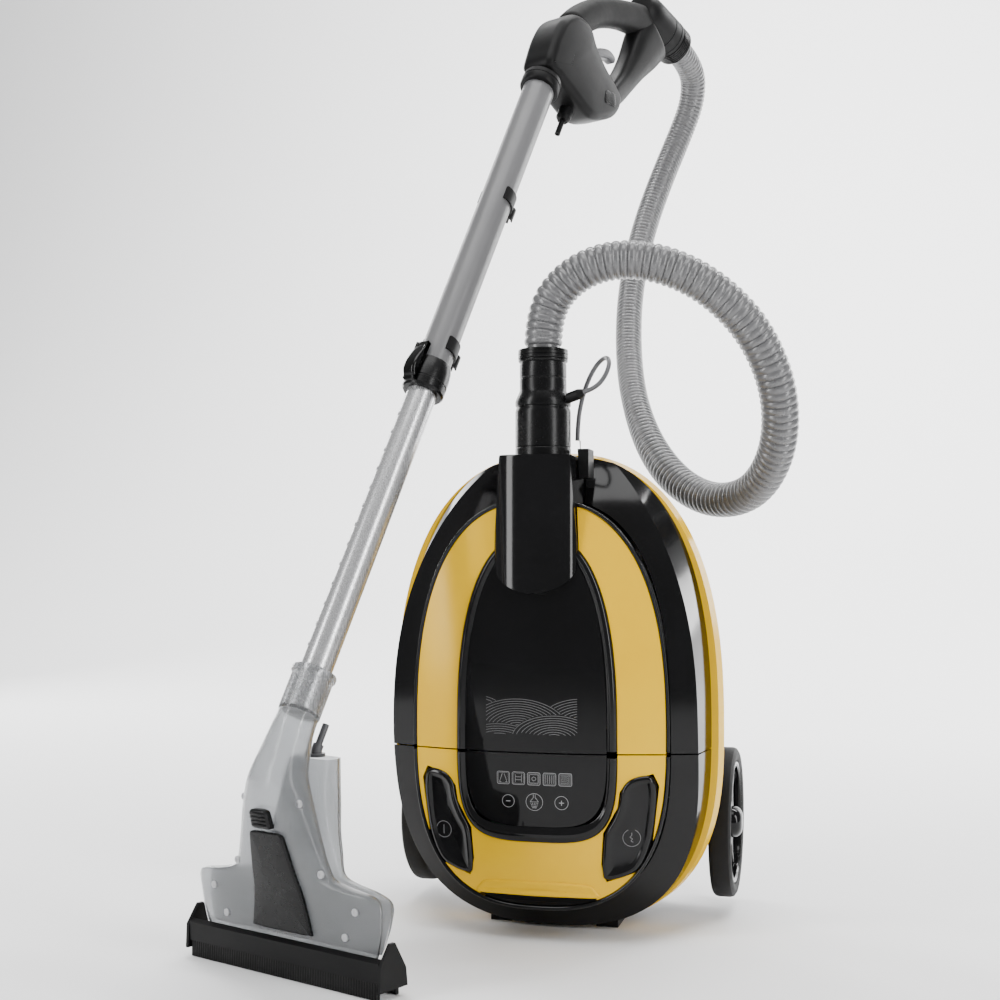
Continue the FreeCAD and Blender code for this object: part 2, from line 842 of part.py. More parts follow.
def make_caster():
    """The small swivelling front wheel on the machine's underside."""
    back_y, up = float(size.housing_back_y), float(size.caster_height)
    bore = 4 + float(size.running_gap)
    plate = Part.makeCylinder(21, 3.5, Vector(0, back_y + 0.3, up), Vector(0, 1, 0))
    pin = Part.makeCylinder(4, 3.6, Vector(0, back_y + 3.7, up), Vector(0, 1, 0))
    free_shape("caster_plate", plate.fuse(pin))
    disc_y = back_y + 4.2
    disc = Part.makeCylinder(18, 2.6, Vector(0, disc_y, up), Vector(0, 1, 0))
    hub = Part.makeCylinder(bore, 20, Vector(0, back_y, up), Vector(0, 1, 0))
    axle_y, axle_z = float(size.ground_y - size.caster_radius), up - 6
    half = float(size.caster_width) / 2
    fork = disc.cut(hub)
    for side in (-1, 1):
        inner, outer = side * (half + 1), side * (half + 4)
        low = (min(inner, outer), disc_y + 2, axle_z - 6)
        cheek = box_between(low, (max(inner, outer), axle_y + 6, axle_z + 10))
        fork = fork.fuse(cheek)
    hole = Part.makeCylinder(2.6, 60, Vector(-30, axle_y, axle_z), Vector(1, 0, 0))
    axle = Part.makeCylinder(2.5, 2 * half + 9, Vector(-half - 4.5, axle_y, axle_z), Vector(1, 0, 0))
    group("caster_fork", [fork.cut(hole), axle])
    outline = [
        (fixed(2.5) + size.running_gap, fixed(0)),
        (size.caster_radius - 2, fixed(0)),
        (size.caster_radius, fixed(2)),
        (size.caster_radius, size.caster_width - 2),
        (size.caster_radius - 2, size.caster_width),
        (fixed(2.5) + size.running_gap, size.caster_width),
    ]
    turned("caster_wheel", outline, Placement(Vector(-half, axle_y, axle_z), ALONG_X))


# ------------------------------------------------------------------------- internals


def make_motor():
    """Suction motor, its fan case, and the impeller on the motor shaft."""
    base = Vector(-58, 34, 62)
    shaft = fixed(4)
    bore = shaft + size.running_gap
    zero = fixed(0)
    motor = [(bore, zero), (fixed(46), zero), (fixed(46), fixed(70)), (bore, fixed(70))]
    housing = turned("motor_can", motor, Placement(base, UPRIGHT))
    case = [
        (bore, fixed(70.5)),
        (fixed(54), fixed(70.5)),
        (fixed(54), fixed(110)),
        (fixed(16), fixed(110)),
        (fixed(16), fixed(107)),
        (fixed(51), fixed(107)),
        (fixed(51), fixed(73.5)),
        (bore, fixed(73.5)),
    ]
    scroll = turned("fan_case", case, Placement(base, UPRIGHT))
    join_nodes("suction_motor", [housing, scroll])
    wheel = [
        (zero, fixed(5)),
        (shaft, fixed(5)),
        (shaft, fixed(77)),
        (fixed(46), fixed(77)),
        (fixed(46), fixed(80)),
        (fixed(14), fixed(101)),
        (zero, fixed(101)),
    ]
    turned("impeller", wheel, Placement(base, UPRIGHT))


def make_cable_reel():
    """The cord reel's drum on its axle."""
    place = Placement(Vector(66, 2, 92), ALONG_Y)
    axle = cylinder("reel_axle", fixed(8), fixed(62), place)
    bore = fixed(8) + size.running_gap
    drum = [
        (bore, fixed(8)),
        (fixed(54), fixed(8)),
        (fixed(54), fixed(10.5)),
        (fixed(22), fixed(10.5)),
        (fixed(22), fixed(47)),
        (fixed(54), fixed(47)),
        (fixed(54), fixed(49.5)),
        (bore, fixed(49.5)),
    ]
    turned("reel_drum", drum, place)
    return axle


def hollow_box(low, high, wall):
    inner_low = [value + wall for value in low]
    inner_high = [value - wall for value in high]
    return box_between(low, high).cut(box_between(inner_low, inner_high))


def make_tanks():
    """Dirty-water container with its cyclone, clean-water tank, pump and filter."""
    dirty = hollow_box((-92, -52, 200), (92, 18, 378), 2.5)
    free_shape("clean_water_tank", hollow_box((-96, 24, 200), (96, 92, 390), 2.5))
    cone = [
        (fixed(12), fixed(0)),
        (fixed(14.5), fixed(0)),
        (fixed(30), fixed(85)),
        (fixed(30), fixed(140)),
        (fixed(27.5), fixed(140)),
        (fixed(27.5), fixed(85)),
    ]
    cyclone = turned("cyclone", cone, Placement(Vector(0, -17, 222), UPRIGHT))
    container = free_shape("container_walls", dirty)
    join_nodes("dirty_water_container", [container, cyclone])
    cylinder("water_pump", fixed(13), fixed(56), Placement(Vector(20, 72, 172), ALONG_X))
    block("exhaust_filter", (fixed(84), fixed(11), fixed(56)), Placement(Vector(-118, 89, 132), UPRIGHT))
    board = Placement(Vector(-46, -112, 116), UPRIGHT)
    block("circuit_board", (fixed(92), fixed(1.6), fixed(60)), board)


def make_back_fittings():
    """The exhaust grille and the mains-cord outlet on the back of the housing."""
    back = float(size.housing_back_y) + 0.2
    plate = box_between((-60, back, 250), (60, back + 2.5, 310))
    for step in range(7):
        low = 256 + step * 7.4
        plate = plate.cut(box_between((-52, back - 1, low), (52, back + 4, low + 3.6)))
    free_shape("exhaust_grille", plate)
    place = Placement(Vector(78, back, 120), ALONG_Y)
    outline = [(fixed(4.5), fixed(0)), (fixed(12), fixed(0)), (fixed(9), fixed(7)), (fixed(4.5), fixed(7))]
    turned("cord_outlet", outline, place)
    spots = [(-100, 60), (100, 60), (-108, 330), (108, 330), (0, 60), (-40, 436), (40, 436)]
    heads = [Part.makeCylinder(4, 1.8, Vector(x, back, z), Vector(0, 1, 0)) for x, z in spots]
    group("housing_screws", heads)


# ----------------------------------------------------------------------- wand frames


def wand_place():
    return Placement(
        Vector(float(size.wand_x), float(size.wand_y), 0),
        Rotation(Vector(0, 0, 1), float(size.wand_turn)),
    )


def tube_place(along=0.0):
    """The frame on the wand's axis, moved up along the tube."""
    lean = math.radians(float(size.wand_lean))
    base = Vector(0, float(size.tube_origin_h), float(size.tube_origin_height))
    base = base + Vector(0, math.sin(lean), math.cos(lean)) * float(along)
    return wand_place().multiply(Placement(base, Rotation(Vector(1, 0, 0), -float(size.wand_lean))))


def handle_place():
    """Upright axes at the top of the outer tube, in the wand's plane."""
    lean = math.radians(float(size.wand_lean))
    end = float(size.outer_tube_end)
    base = Vector(0, float(size.tube_origin_h), float(size.tube_origin_height))
    base = base + Vector(0, math.sin(lean), math.cos(lean)) * end
    return wand_place().multiply(Placement(base, UPRIGHT))


def neck_direction():
    return 0.97, -0.24


def neck_end():
    """Centre of the handle's hose end, from the top of the outer tube."""
    return 273.0, 126.6


def hose_end_hz():
    back, up = neck_end()
    length = 18.0 + float(size.hose_face_gap) + 0.3
    return back + neck_direction()[0] * length, up + neck_direction()[1] * length


def wand_point(back, up):
    return handle_place().multVec(Vector(0, back, up))


def wand_direction(back, up):
    return wand_place().Rotation.multVec(Vector(0, back, up)).normalize()


# ------------------------------------------------------------------------------ wand


def make_tubes():
    """Outer and inner wand tubes with the telescope's lock collar and slider."""
    gap = 0.4
    zero = fixed(0)
    length = size.outer_tube_end - size.outer_tube_start
    start = tube_place(size.outer_tube_start)
    tube_body("outer_tube", size.outer_tube_radius, size.outer_tube_bore, length, start)
    foot = 6.0
    held = 80.0
    inner_length = size.outer_tube_start + size.telescope_travel + (held - foot)
    seat = tube_place(foot)
    tube_body("inner_tube", size.inner_tube_radius, size.inner_tube_bore, inner_length, seat)
    step = size.outer_tube_start - size.collar_start - 0.3
    collar = [
        (size.outer_tube_bore, zero),
        (size.outer_tube_radius + 3.6, zero),
        (size.outer_tube_radius + 4.1, step),
        (size.outer_tube_radius + 2.8, step + 18),
        (size.outer_tube_radius + gap, step + 18),
        (size.outer_tube_radius + gap, step),
        (size.outer_tube_bore, step),
    ]
    turned("lock_collar", collar, tube_place(size.collar_start))
    face = -(size.outer_tube_radius + 4.6)
    slider = [
        (face, fixed(4)),
        (face - 7, fixed(7)),
        (face - 9, fixed(18)),
        (face - 5, fixed(34)),
        (face, fixed(46)),
    ]
    padded("lock_slider", "YZ_Plane", slider, fixed(15), tube_place(size.collar_start))


def make_clips():
    """Two snap bands on the outer tube, each with an open hook for a water line."""
    radius = float(size.outer_tube_radius)
    band = Part.makeCylinder(radius + 2.4, 15).cut(Part.makeCylinder(radius + 0.2, 15))
    band = band.cut(box_between((-30, -30, -1), (30, -radius * 0.45, 16)))
    reach = radius + 7.6
    hook_at = Vector(0, reach, 0)
    hook = Part.makeCylinder(5.6, 15, hook_at).cut(Part.makeCylinder(3.5, 15, hook_at))
    hook = hook.cut(box_between((-2.6, reach, -1), (2.6, reach + 9, 16)))
    clip = band.fuse(hook.cut(Part.makeCylinder(radius + 2.0, 15)))
    clips = []
    for along in (32.0, 226.0):
        placed = clip.copy()
        placed.translate(Vector(0, 0, along))
        clips.append(placed)
    group("hose_clips", clips, tube_place(size.outer_tube_start))


def polygon_plate(points, half_width):
    """A flat (back, up) outline given a width to both sides of the wand's plane."""
    corners = [Vector(-half_width, back, up) for back, up in points]
    face = Part.Face(Part.makePolygon(corners + corners[:1]))
    return face.extrude(Vector(2 * half_width, 0, 0))


TRIGGER_PIVOT = (78.0, 50.0)


def make_handle():
    """Handle shell, soft grip, hose neck with strut, trigger and side button."""
    place = handle_place()
    half = float(size.handle_thickness) / 2
    shell_points = [
        (-14, 17), (2, 50), (18, 72), (38, 84), (63, 85), (77, 74), (84, 57), (102, 40),
        (122, 29), (136, 14), (133, -1), (122, -12), (84, -24), (66, -24), (26, -4),
    ]
    shell = polygon_plate(shell_points, half)
    pivot = Vector(-half - 1, *TRIGGER_PIVOT)
    slot = Part.makeCylinder(17, 13.2, Vector(-6.6, *TRIGGER_PIVOT), Vector(1, 0, 0))
    pin_hole = Part.makeCylinder(2.5 + 0.3, 2 * half + 2, pivot, Vector(1, 0, 0))
    pocket = box_between((half - 6.5, 93, -3), (half + 2, 117, 13))
    shell = shell.cut(slot).cut(pin_hole).cut(pocket)
    tube_seat = tube_place(size.outer_tube_end)
    local = place.inverse().multiply(tube_seat)
    seat = Part.makeCylinder(float(size.outer_tube_radius) + 5, 30, Vector(0, 0, -24))
    seat.Placement = local
    free_shape("handle_shell", shell.cut(seat), place)

    neck_points = [
        (195, 147), (211, 153), (262, 154), (277, 150), (267, 104), (240, 81), (194, 47),
        (146, 8), (137, 16), (124, 30), (130, 31), (171, 62), (174, 83), (166, 94), (174, 106),
    ]
    neck = polygon_plate(neck_points, 15.0)
    back, up = neck_end()
    radius = float(size.neck_radius)
    out_back, out_up = neck_direction()
    start = Vector(0, back - out_back * 46, up - out_up * 46)
    barrel = Part.makeCylinder(radius, 46, start, Vector(0, out_back, out_up))
    outward = Vector(0, out_back, out_up)
    bore = Part.makeCylinder(radius - 5, 40, start + outward * 12, outward)
    end_cut = Part.makeCylinder(60, 40, Vector(0, back, up), Vector(0, out_back, out_up))
    neck = neck.fuse(barrel).cut(bore).cut(end_cut).cut(shell)
    free_shape("handle_neck", neck, place)

    grip_start, grip_middle, grip_end = Vector(0, 58, 78), Vector(0, 118, 112), Vector(0, 206, 128)
    arc = Part.Wire([Part.Arc(grip_start, grip_middle, grip_end).toShape()])
    tangent = arc.Edges[0].tangentAt(arc.Edges[0].FirstParameter)
    section = Part.Wire([Part.Circle(grip_start, tangent, 17.0).toShape()])
    grip = arc.makePipeShell([section], True, False)
    free_shape("handle_grip", grip.cut(shell).cut(neck), place)

    hub = Part.makeCylinder(8, 12, Vector(-6, *TRIGGER_PIVOT), Vector(1, 0, 0))
    lever = polygon_plate([(80, 44), (80, 57), (112, 69), (134, 70), (142, 64), (138, 57), (116, 58)], 6.0)
    hole = Part.makeCylinder(2.5 + float(size.running_gap), 40, Vector(-20, *TRIGGER_PIVOT), Vector(1, 0, 0))
    free_shape("spray_trigger", hub.fuse(lever).cut(hole), place)
    pin = Part.makeCylinder(2.5, 2 * half - 2, Vector(-half + 1, *TRIGGER_PIVOT), Vector(1, 0, 0))
    trigger_pin = free_shape("trigger_pin", pin, place)
    button = box_between((half - 4.5, 93.6, -2.4), (half + 1.5, 116.4, 12.4))
    free_shape("release_button", button, place)
    return trigger_pin


def make_handle_fittings():
    """Collar on the tube, hose swivel ring and the water outlet under the shell."""
    radius = size.outer_tube_radius
    zero = fixed(0)
    collar = [
        (radius + 0.2, zero),
        (radius + 4.6, zero),
        (radius + 4.6, fixed(16)),
        (radius - 2, fixed(16)),
        (radius - 2, fixed(14.4)),
        (radius + 0.2, fixed(14.4)),
    ]
    turned("tube_collar", collar, tube_place(size.outer_tube_end - 14))
    turn = Rotation(Vector(0, 0, 1), wand_direction(*neck_direction()))
    back, up = neck_end()
    start = wand_point(back + neck_direction()[0] * 0.3, up + neck_direction()[1] * 0.3)
    place = Placement(start, turn)
    tube_body("handle_swivel", size.neck_radius - 0.5, size.neck_radius - 7, fixed(18), place)
    outlet = [
        (fixed(1.6), zero),
        (fixed(8.5), zero),
        (fixed(8.5), fixed(12)),
        (fixed(6), fixed(16)),
        (fixed(3.2), fixed(16)),
        (fixed(3.2), fixed(36)),
        (fixed(1.6), fixed(36)),
    ]
    lean = math.radians(float(size.wand_lean))
    down = wand_direction(-math.sin(lean), -math.cos(lean))
    turned("water_outlet", outlet, Placement(wand_point(47, -19.5), Rotation(Vector(0, 0, 1), down)))


# ---------------------------------------------------------------------------- nozzle


def lip_prism(half_points, low_back, high_back):
    """A front outline given as right-hand (across, up) points, mirrored to the left,
    and given a depth between two places along the lean direction."""
    right = [Vector(across, low_back, up) for across, up in half_points]
    left = [Vector(-point.x, point.y, point.z) for point in reversed(right)]
    face = Part.Face(Part.makePolygon(right + left + right[:1]))
    return face.extrude(Vector(0, high_back - low_back, 0))


def neck_bar(radius, start, end):
    bar = Part.makeCylinder(radius, end - start, Vector(0, 0, start))
    bar.Placement = wand_place().inverse().multiply(tube_place())
    return bar


def nozzle_front(inset=0.0):
    half = float(size.nozzle_half_width) - inset
    outline = [
        (half - 9, 30 - inset), (half - 2, 50), (half, 72 - inset), (half - 6, 84 - inset),
        (80 - inset, 86 - inset), (62 - inset, 92 - inset), (50 - inset, 112),
        (43 - inset, 134), (30 - inset, 175), (22 - inset, 198 - inset),
    ]
    side = [
        (-6 + inset, 29 - inset), (-9 + inset, 60), (-25 + inset, 118), (-32 + inset, 150),
        (-30 + inset, 172), (-18 + inset, 199 - inset), (4 - inset, 199 - inset),
        (1 - inset, 150), (4 - inset, 90), (4 - inset, 29 - inset),
    ]
    return lip_prism(outline, -60, 30).common(polygon_plate(side, 200))


def front_skin(outer_gap, inner_gap):
    """A layer standing in front of the nozzle's front surface."""
    side = [(-6, 29), (-9, 60), (-25, 118), (-32, 150), (-30, 172), (0, 172), (0, 29)]
    outer = [(back - outer_gap, up) for back, up in side]
    inner = [(back - inner_gap, up) for back, up in side]
    return polygon_plate(outer, 200).cut(polygon_plate(inner, 201))


def leaning_spigot(lean):
    """A hose spigot on an upright foot, its knee bent back by an angle in radians."""
    knee = Vector(0, 0, 6)
    along = Vector(0, math.sin(lean), math.cos(lean))
    body = Part.makeCylinder(8, 3)
    body = body.fuse(Part.makeCylinder(5, 6))
    body = body.fuse(Part.makeSphere(5, knee))
    body = body.fuse(Part.makeCylinder(5, 5, knee, along))
    body = body.fuse(Part.makeCylinder(3.2, 25, knee, along))
    bore = Part.makeCylinder(1.6, 6)
    bore = bore.fuse(Part.makeSphere(1.6, knee))
    bore = bore.fuse(Part.makeCylinder(1.6, 25, knee, along))
    return body.cut(bore)


def make_nozzle():
    """Clear extraction nozzle: front shell, spray chamber behind it and fittings."""
    place = wand_place()
    wall = float(size.nozzle_wall)
    radius = float(size.sleeve_radius) - 1
    outer = nozzle_front().fuse(neck_bar(radius, -66, 0))
    inner = nozzle_front(wall).fuse(neck_bar(radius - wall, -66, 1))
    mouth = box_between((-98, -3.5, 20), (98, 1.5, 40))
    shell = outer.cut(inner).cut(mouth)
    free_shape("nozzle_shell", shell, place)

    half = float(size.nozzle_half_width)
    chamber_outline = [(half - 8, 32), (half, 60), (half, 80), (92, 85)]
    chamber_outline += [(52, 93), (36, 127), (28, 165), (23, 190)]
    chamber_side = [(5, 34), (13, 60), (16, 84), (28, 112), (40, 150), (44, 190), (5, 190)]
    chamber = lip_prism(chamber_outline, 0, 60).common(polygon_plate(chamber_side, 200))
    small_outline = [(half - 11, 35), (half - 3, 60), (half - 3, 77), (90, 82)]
    small_outline += [(49, 91), (33, 127), (25, 165), (20, 187)]
    small_side = [(8, 37), (10.5, 60), (13.5, 84), (25.5, 112), (37, 150), (41, 187), (8, 187)]
    hollow = lip_prism(small_outline, 0, 60).common(polygon_plate(small_side, 200))
    chamber = chamber.cut(hollow).cut(neck_bar(radius + 0.5, -80, 10))
    free_shape("spray_chamber", chamber, place)

    trapezoid = lip_prism([(36, 41), (19, 131)], -60, 60)
    free_shape("nozzle_cover", front_skin(4.4, 0.5).common(trapezoid), place)
    latch = front_skin(8.5, 0.8).common(box_between((-11, -60, 134), (11, 60, 153)))
    free_shape("cover_latch", latch, place)
    inlet = leaning_spigot(math.radians(float(size.wand_lean)))
    free_shape("water_inlet", inlet, place.multiply(Placement(Vector(0, 33, 190.3), UPRIGHT)))
    sleeve = [
        (size.inner_tube_radius + 0.3, fixed(0.3)),
        (size.sleeve_radius, fixed(0.3)),
        (size.sleeve_radius, size.sleeve_length - 5),
        (size.sleeve_radius + 1.8, size.sleeve_length - 3),
        (size.sleeve_radius + 1.8, size.sleeve_length),
        (size.inner_tube_radius + 0.3, size.sleeve_length),
    ]
    turned("nozzle_sleeve", sleeve, tube_place())


def make_adapter():
    """Hard-floor adapter that clips under the nozzle: rails, ends and two lips."""
    place = wand_place()
    half = float(size.adapter_half_width)
    front = polygon_plate([(-14, 15), (-14.5, 32), (-10, 35), (-8, 30), (-8, 15)], half)
    rear = polygon_plate([(8, 8), (6.5, 24), (12, 25), (17, 20), (17, 8)], half)
    ends = [front, rear]
    plate = [(-3, 47), (3, 47), (17, 24), (19, 8), (-1, 8), (-16, 8), (-15, 30)]
    for side in (-1, 1):
        end = polygon_plate(plate, 1.6)
        end.translate(Vector(side * (half + 1.8), 0, 0))
        ends.append(end)
    group("floor_adapter", ends, place)
    front_lip = box_between((-half + 2, -13, 0), (half - 2, -10, 14.8))
    rear_lip = box_between((-half + 2, 11, 0), (half - 2, 14, 7.8))
    group("adapter_lips", [front_lip, rear_lip], place)


# ------------------------------------------------------------------------- run it


def main():
    make_ring()
    make_rim()
    make_housing()
    make_lid_panels()
    make_pedals()
    make_socket()
    make_feet()
    start_height = make_cuff()
    make_hose(start_height)
    make_water_tube()
    pins = make_wheels()
    make_caster()
    make_motor()
    pins.append(make_cable_reel())
    make_tanks()
    make_back_fittings()
    make_tubes()
    make_clips()
    pins.append(make_handle())
    join_nodes("steel_pins", pins)
    make_handle_fittings()
    make_nozzle()
    make_adapter()


main()
doc.recompute()

problems = []
for obj in doc.Objects:
    if "Invalid" in obj.State or "Error" in obj.State:
        problems.append(f"{obj.Label}: {obj.State}")
for obj in parts:
    if obj.Shape.isNull() or not obj.Shape.isValid():
        problems.append(f"{obj.Label}: shape is null or not valid")
if problems:
    raise RuntimeError("; ".join(problems))

os.makedirs("parts", exist_ok=True)
for obj in parts:
    obj.Shape.exportStep(f"parts/{obj.Label}.step")
    bounds = obj.Shape.BoundBox
    print(f"{obj.Label}: solids {len(obj.Shape.Solids)}, volume {obj.Shape.Volume:.0f}")
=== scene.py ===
"""A canister extraction vacuum, parked on its rear end, in a plain pale studio."""

import json
import math

import bpy
import numpy as np
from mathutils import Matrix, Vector


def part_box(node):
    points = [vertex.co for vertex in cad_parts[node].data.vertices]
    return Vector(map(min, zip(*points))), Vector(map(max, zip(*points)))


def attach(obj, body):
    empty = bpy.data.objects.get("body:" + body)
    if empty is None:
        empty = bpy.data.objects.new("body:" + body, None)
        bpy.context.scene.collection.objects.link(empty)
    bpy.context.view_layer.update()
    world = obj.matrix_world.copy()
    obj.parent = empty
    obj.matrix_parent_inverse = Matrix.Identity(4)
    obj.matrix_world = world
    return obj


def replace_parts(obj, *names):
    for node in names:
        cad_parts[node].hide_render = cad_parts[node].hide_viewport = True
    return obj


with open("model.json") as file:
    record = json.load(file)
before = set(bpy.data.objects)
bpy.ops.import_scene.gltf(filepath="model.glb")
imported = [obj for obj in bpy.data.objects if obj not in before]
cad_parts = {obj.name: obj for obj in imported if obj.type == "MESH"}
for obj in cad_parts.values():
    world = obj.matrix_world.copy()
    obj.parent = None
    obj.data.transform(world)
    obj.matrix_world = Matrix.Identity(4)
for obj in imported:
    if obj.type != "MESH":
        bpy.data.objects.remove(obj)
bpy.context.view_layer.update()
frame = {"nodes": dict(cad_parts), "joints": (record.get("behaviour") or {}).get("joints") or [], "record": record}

record = frame["record"]
nodes = frame["nodes"]
joint = {item["name"]: item for item in frame["joints"]}

# ------------------------------------------------------------------ camera

camera = bpy.data.objects.new("camera", bpy.data.cameras.new("camera"))
bpy.context.scene.collection.objects.link(camera)
camera.location = (0.3205, -1.4511, 0.365)
camera.rotation_euler = (math.radians(90), 0, math.radians(15))
camera.data.lens = 51.12
camera.data.sensor_width = 36
camera.data.shift_y = 0.064
bpy.context.scene.camera = camera

# ------------------------------------------------------- frames of the wand

UP = np.array([0.0, 0.0, 1.0])
TUBE_AXIS = -np.array(joint["wand_telescope"]["axis"])
ACROSS = np.array(joint["trigger_pull"]["axis"])
BACK = np.cross(UP, ACROSS)
NECK = np.array(joint["neck_ring_turn"]["axis"])
NECK_END = np.array(joint["neck_ring_turn"]["pos_m"])
PIVOT_BACK, PIVOT_UP = 0.078, 0.050
TUBE_BACK, TUBE_UP, TUBE_END = 0.0095, 0.229, 0.768
handle_origin = np.array(joint["trigger_pull"]["pos_m"]) - PIVOT_BACK * BACK - PIVOT_UP * UP
tube_origin = handle_origin - TUBE_END * TUBE_AXIS
wand_origin = tube_origin - TUBE_BACK * BACK - TUBE_UP * UP
TUBE_SIDE = np.cross(TUBE_AXIS, ACROSS)


def placed(points, origin, axes):
    """Points given in millimetres along three axes, as row-frame metres."""
    return origin + np.asarray(points, float) / 1000 @ np.array(axes)


def in_wand(points):
    """(across, back, up) from the wand's foot."""
    return placed(points, wand_origin, (ACROSS, BACK, UP))


def in_handle(points):
    """(across, back, up) from the top of the outer tube."""
    return placed(points, handle_origin, (ACROSS, BACK, UP))


def in_tube(points):
    """(across, behind, along) on the tube's own axis."""
    return placed(points, tube_origin, (ACROSS, TUBE_SIDE, TUBE_AXIS))


# ----------------------------------------------------------- mesh building


def smooth_by_angle(mesh, degrees):
    """Smooth shading, with edges sharper than the angle kept crisp."""
    mesh.shade_smooth()
    mesh.set_sharp_from_angle(angle=math.radians(degrees))


def new_object(name, vertices, faces, material, body, sharp=32):
    """One piece from points and faces, with its material and body."""
    mesh = bpy.data.meshes.new(name)
    mesh.from_pydata([tuple(v) for v in vertices], [], [tuple(f) for f in faces])
    mesh.update()
    smooth_by_angle(mesh, sharp)
    obj = bpy.data.objects.new(name, mesh)
    bpy.context.scene.collection.objects.link(obj)
    mesh.materials.append(material)
    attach(obj, body)
    return obj


def grid_faces(rows, columns, capped=True):
    """Quads between rings of points; each ring closes on itself. With caps, the
    first and last rings are filled by one face each."""
    faces = []
    for row in range(rows - 1):
        for column in range(columns):
            following = (column + 1) % columns
            low, high = row * columns, (row + 1) * columns
            faces.append((low + column, low + following, high + following, high + column))
    if capped:
        faces.append(tuple(reversed(range(columns))))
        faces.append(tuple(range((rows - 1) * columns, rows * columns)))
    return faces


def faced_outwards(points, faces):
    """Faces of a capped ring solid, all turned round when the signed volumes of its
    side quads, taken from the middle of the points, add up to less than nothing."""
    centre = points.mean(axis=0)
    total = 0.0
    for face in faces[:-2]:
        a, b, c, d = (points[index] - centre for index in face)
        total += np.dot(np.cross(a, b), c) + np.dot(np.cross(a, c), d)
    return [tuple(reversed(face)) for face in faces] if total < 0 else faces


def rings_object(name, rings, material, body, sharp=32):
    """A closed solid through rings of points, shape (rows, columns, 3), with its faces
    looking outwards."""
    rings = np.asarray(rings, float)
    rows, columns, _ = rings.shape
    points = rings.reshape(-1, 3)
    faces = faced_outwards(points, grid_faces(rows, columns))
    return new_object(name, points, faces, material, body, sharp)


def lathe_rings(profile, place, columns=64):
    """Rings of a turned shape: each (radius, along) pair of the profile makes one
    circle of that radius round the third axis of place."""
    angles = np.linspace(0, 2 * math.pi, columns, endpoint=False)
    rings = []
    for radius, along in profile:
        ring = np.stack([radius * np.cos(angles), radius * np.sin(angles), np.full(columns, along)], 1)
        rings.append(place(ring))
    return rings


def lathe(name, profile, place, material, body, columns=64, sharp=32):
    """A turned piece: the profile of (radius, along) pairs, carried round the axis."""
    return rings_object(name, lathe_rings(profile, place, columns), material, body, sharp)


def axis_place(origin, axis, side=None):
    """A place function for a turned shape on any axis, from millimetres."""
    axis = np.asarray(axis, float) / np.linalg.norm(axis)
    side = np.array([1.0, 0, 0]) if side is None else np.asarray(side, float)
    if abs(np.dot(side, axis)) > 0.9:
        side = np.array([0.0, 1.0, 0])
    side = side - axis * np.dot(side, axis)
    side /= np.linalg.norm(side)
    third = np.cross(axis, side)
    return lambda points: placed(points, np.asarray(origin, float), (side, third, axis))


def smooth_curve(points, count, closed=False):
    """Points of a Catmull-Rom curve through the given ones, evenly shared out."""
    points = np.asarray(points, float)
    if closed:
        chain = np.vstack([points[-1], points, points[0], points[1]])
    else:
        chain = np.vstack([2 * points[0] - points[1], points, 2 * points[-1] - points[-2]])
    pieces = []
    for p0, p1, p2, p3 in zip(chain, chain[1:], chain[2:], chain[3:]):
        t = np.linspace(0, 1, 24, endpoint=False)[:, None]
        pieces.append(
            0.5 * (2 * p1 + (p2 - p0) * t + (2 * p0 - 5 * p1 + 4 * p2 - p3) * t**2)
            + 0.5 * (3 * p1 - p0 - 3 * p2 + p3) * t**3
        )
    dense = np.vstack(pieces + [chain[-2:-1]])
    return even_points(dense, count)


def even_points(dense, count):
    """The curve cut again at equal steps of its own length."""
    steps = np.linalg.norm(np.diff(dense, axis=0), axis=1)
    along = np.concatenate([[0], np.cumsum(steps)])
    wanted = np.linspace(0, along[-1], count)
    return np.stack([np.interp(wanted, along, dense[:, axis]) for axis in range(dense.shape[1])], 1)


# --------------------------------------------------------------- materials


class Shader:
    """A short way to build one procedural material from Object coordinates."""

    def __init__(self, name):
        self.material = bpy.data.materials.new(name)
        self.material.use_nodes = True
        self.tree = self.material.node_tree
        self.principled = self.tree.nodes["Principled BSDF"]
        self.coords = self.tree.nodes.new("ShaderNodeTexCoord").outputs["Object"]

    def node(self, kind, **values):
        """A new node, each value set on its socket, or on the node if it has none."""
        made = self.tree.nodes.new(kind)
        for key, value in values.items():
            if key in made.inputs:
                made.inputs[key].default_value = value
            else:
                setattr(made, key, value)
        return made

    def link(self, source, target):
        self.tree.links.new(source, target)

    def set(self, **values):
        """Values for the surface shader's own sockets, with _ for a space."""
        for key, value in values.items():
            self.principled.inputs[key.replace("_", " ")].default_value = value

    def noise(self, scale, detail=3.0, rough=0.5):
        """Smooth noise from 0 to 1, at a scale per metre."""
        made = self.node("ShaderNodeTexNoise", Scale=scale, Detail=detail, Roughness=rough)
        self.link(self.coords, made.inputs["Vector"])
        return made.outputs["Fac"]

    def spread(self, source, low, high, start=0.3, stop=0.7):
        """Maps a 0 to 1 value to a range."""
        made = self.node("ShaderNodeMapRange")
        made.inputs["From Min"].default_value = start
        made.inputs["From Max"].default_value = stop
        made.inputs["To Min"].default_value = low
        made.inputs["To Max"].default_value = high
        self.link(source, made.inputs["Value"])
        return made.outputs["Result"]

    def mixed(self, source, first, second):
        """A colour that goes from the first to the second with the source."""
        made = self.node("ShaderNodeMix", data_type="RGBA")
        self.link(source, made.inputs[0])
        made.inputs[6].default_value = (*first, 1)
        made.inputs[7].default_value = (*second, 1)
        return made.outputs[2]

    def bump(self, height, strength, distance):
        """Fine relief: the height times the distance in metres, as a normal."""
        made = self.node("ShaderNodeBump", Strength=strength, Distance=distance)
        self.link(height, made.inputs["Height"])
        self.link(made.outputs["Normal"], self.principled.inputs["Normal"])
        return made


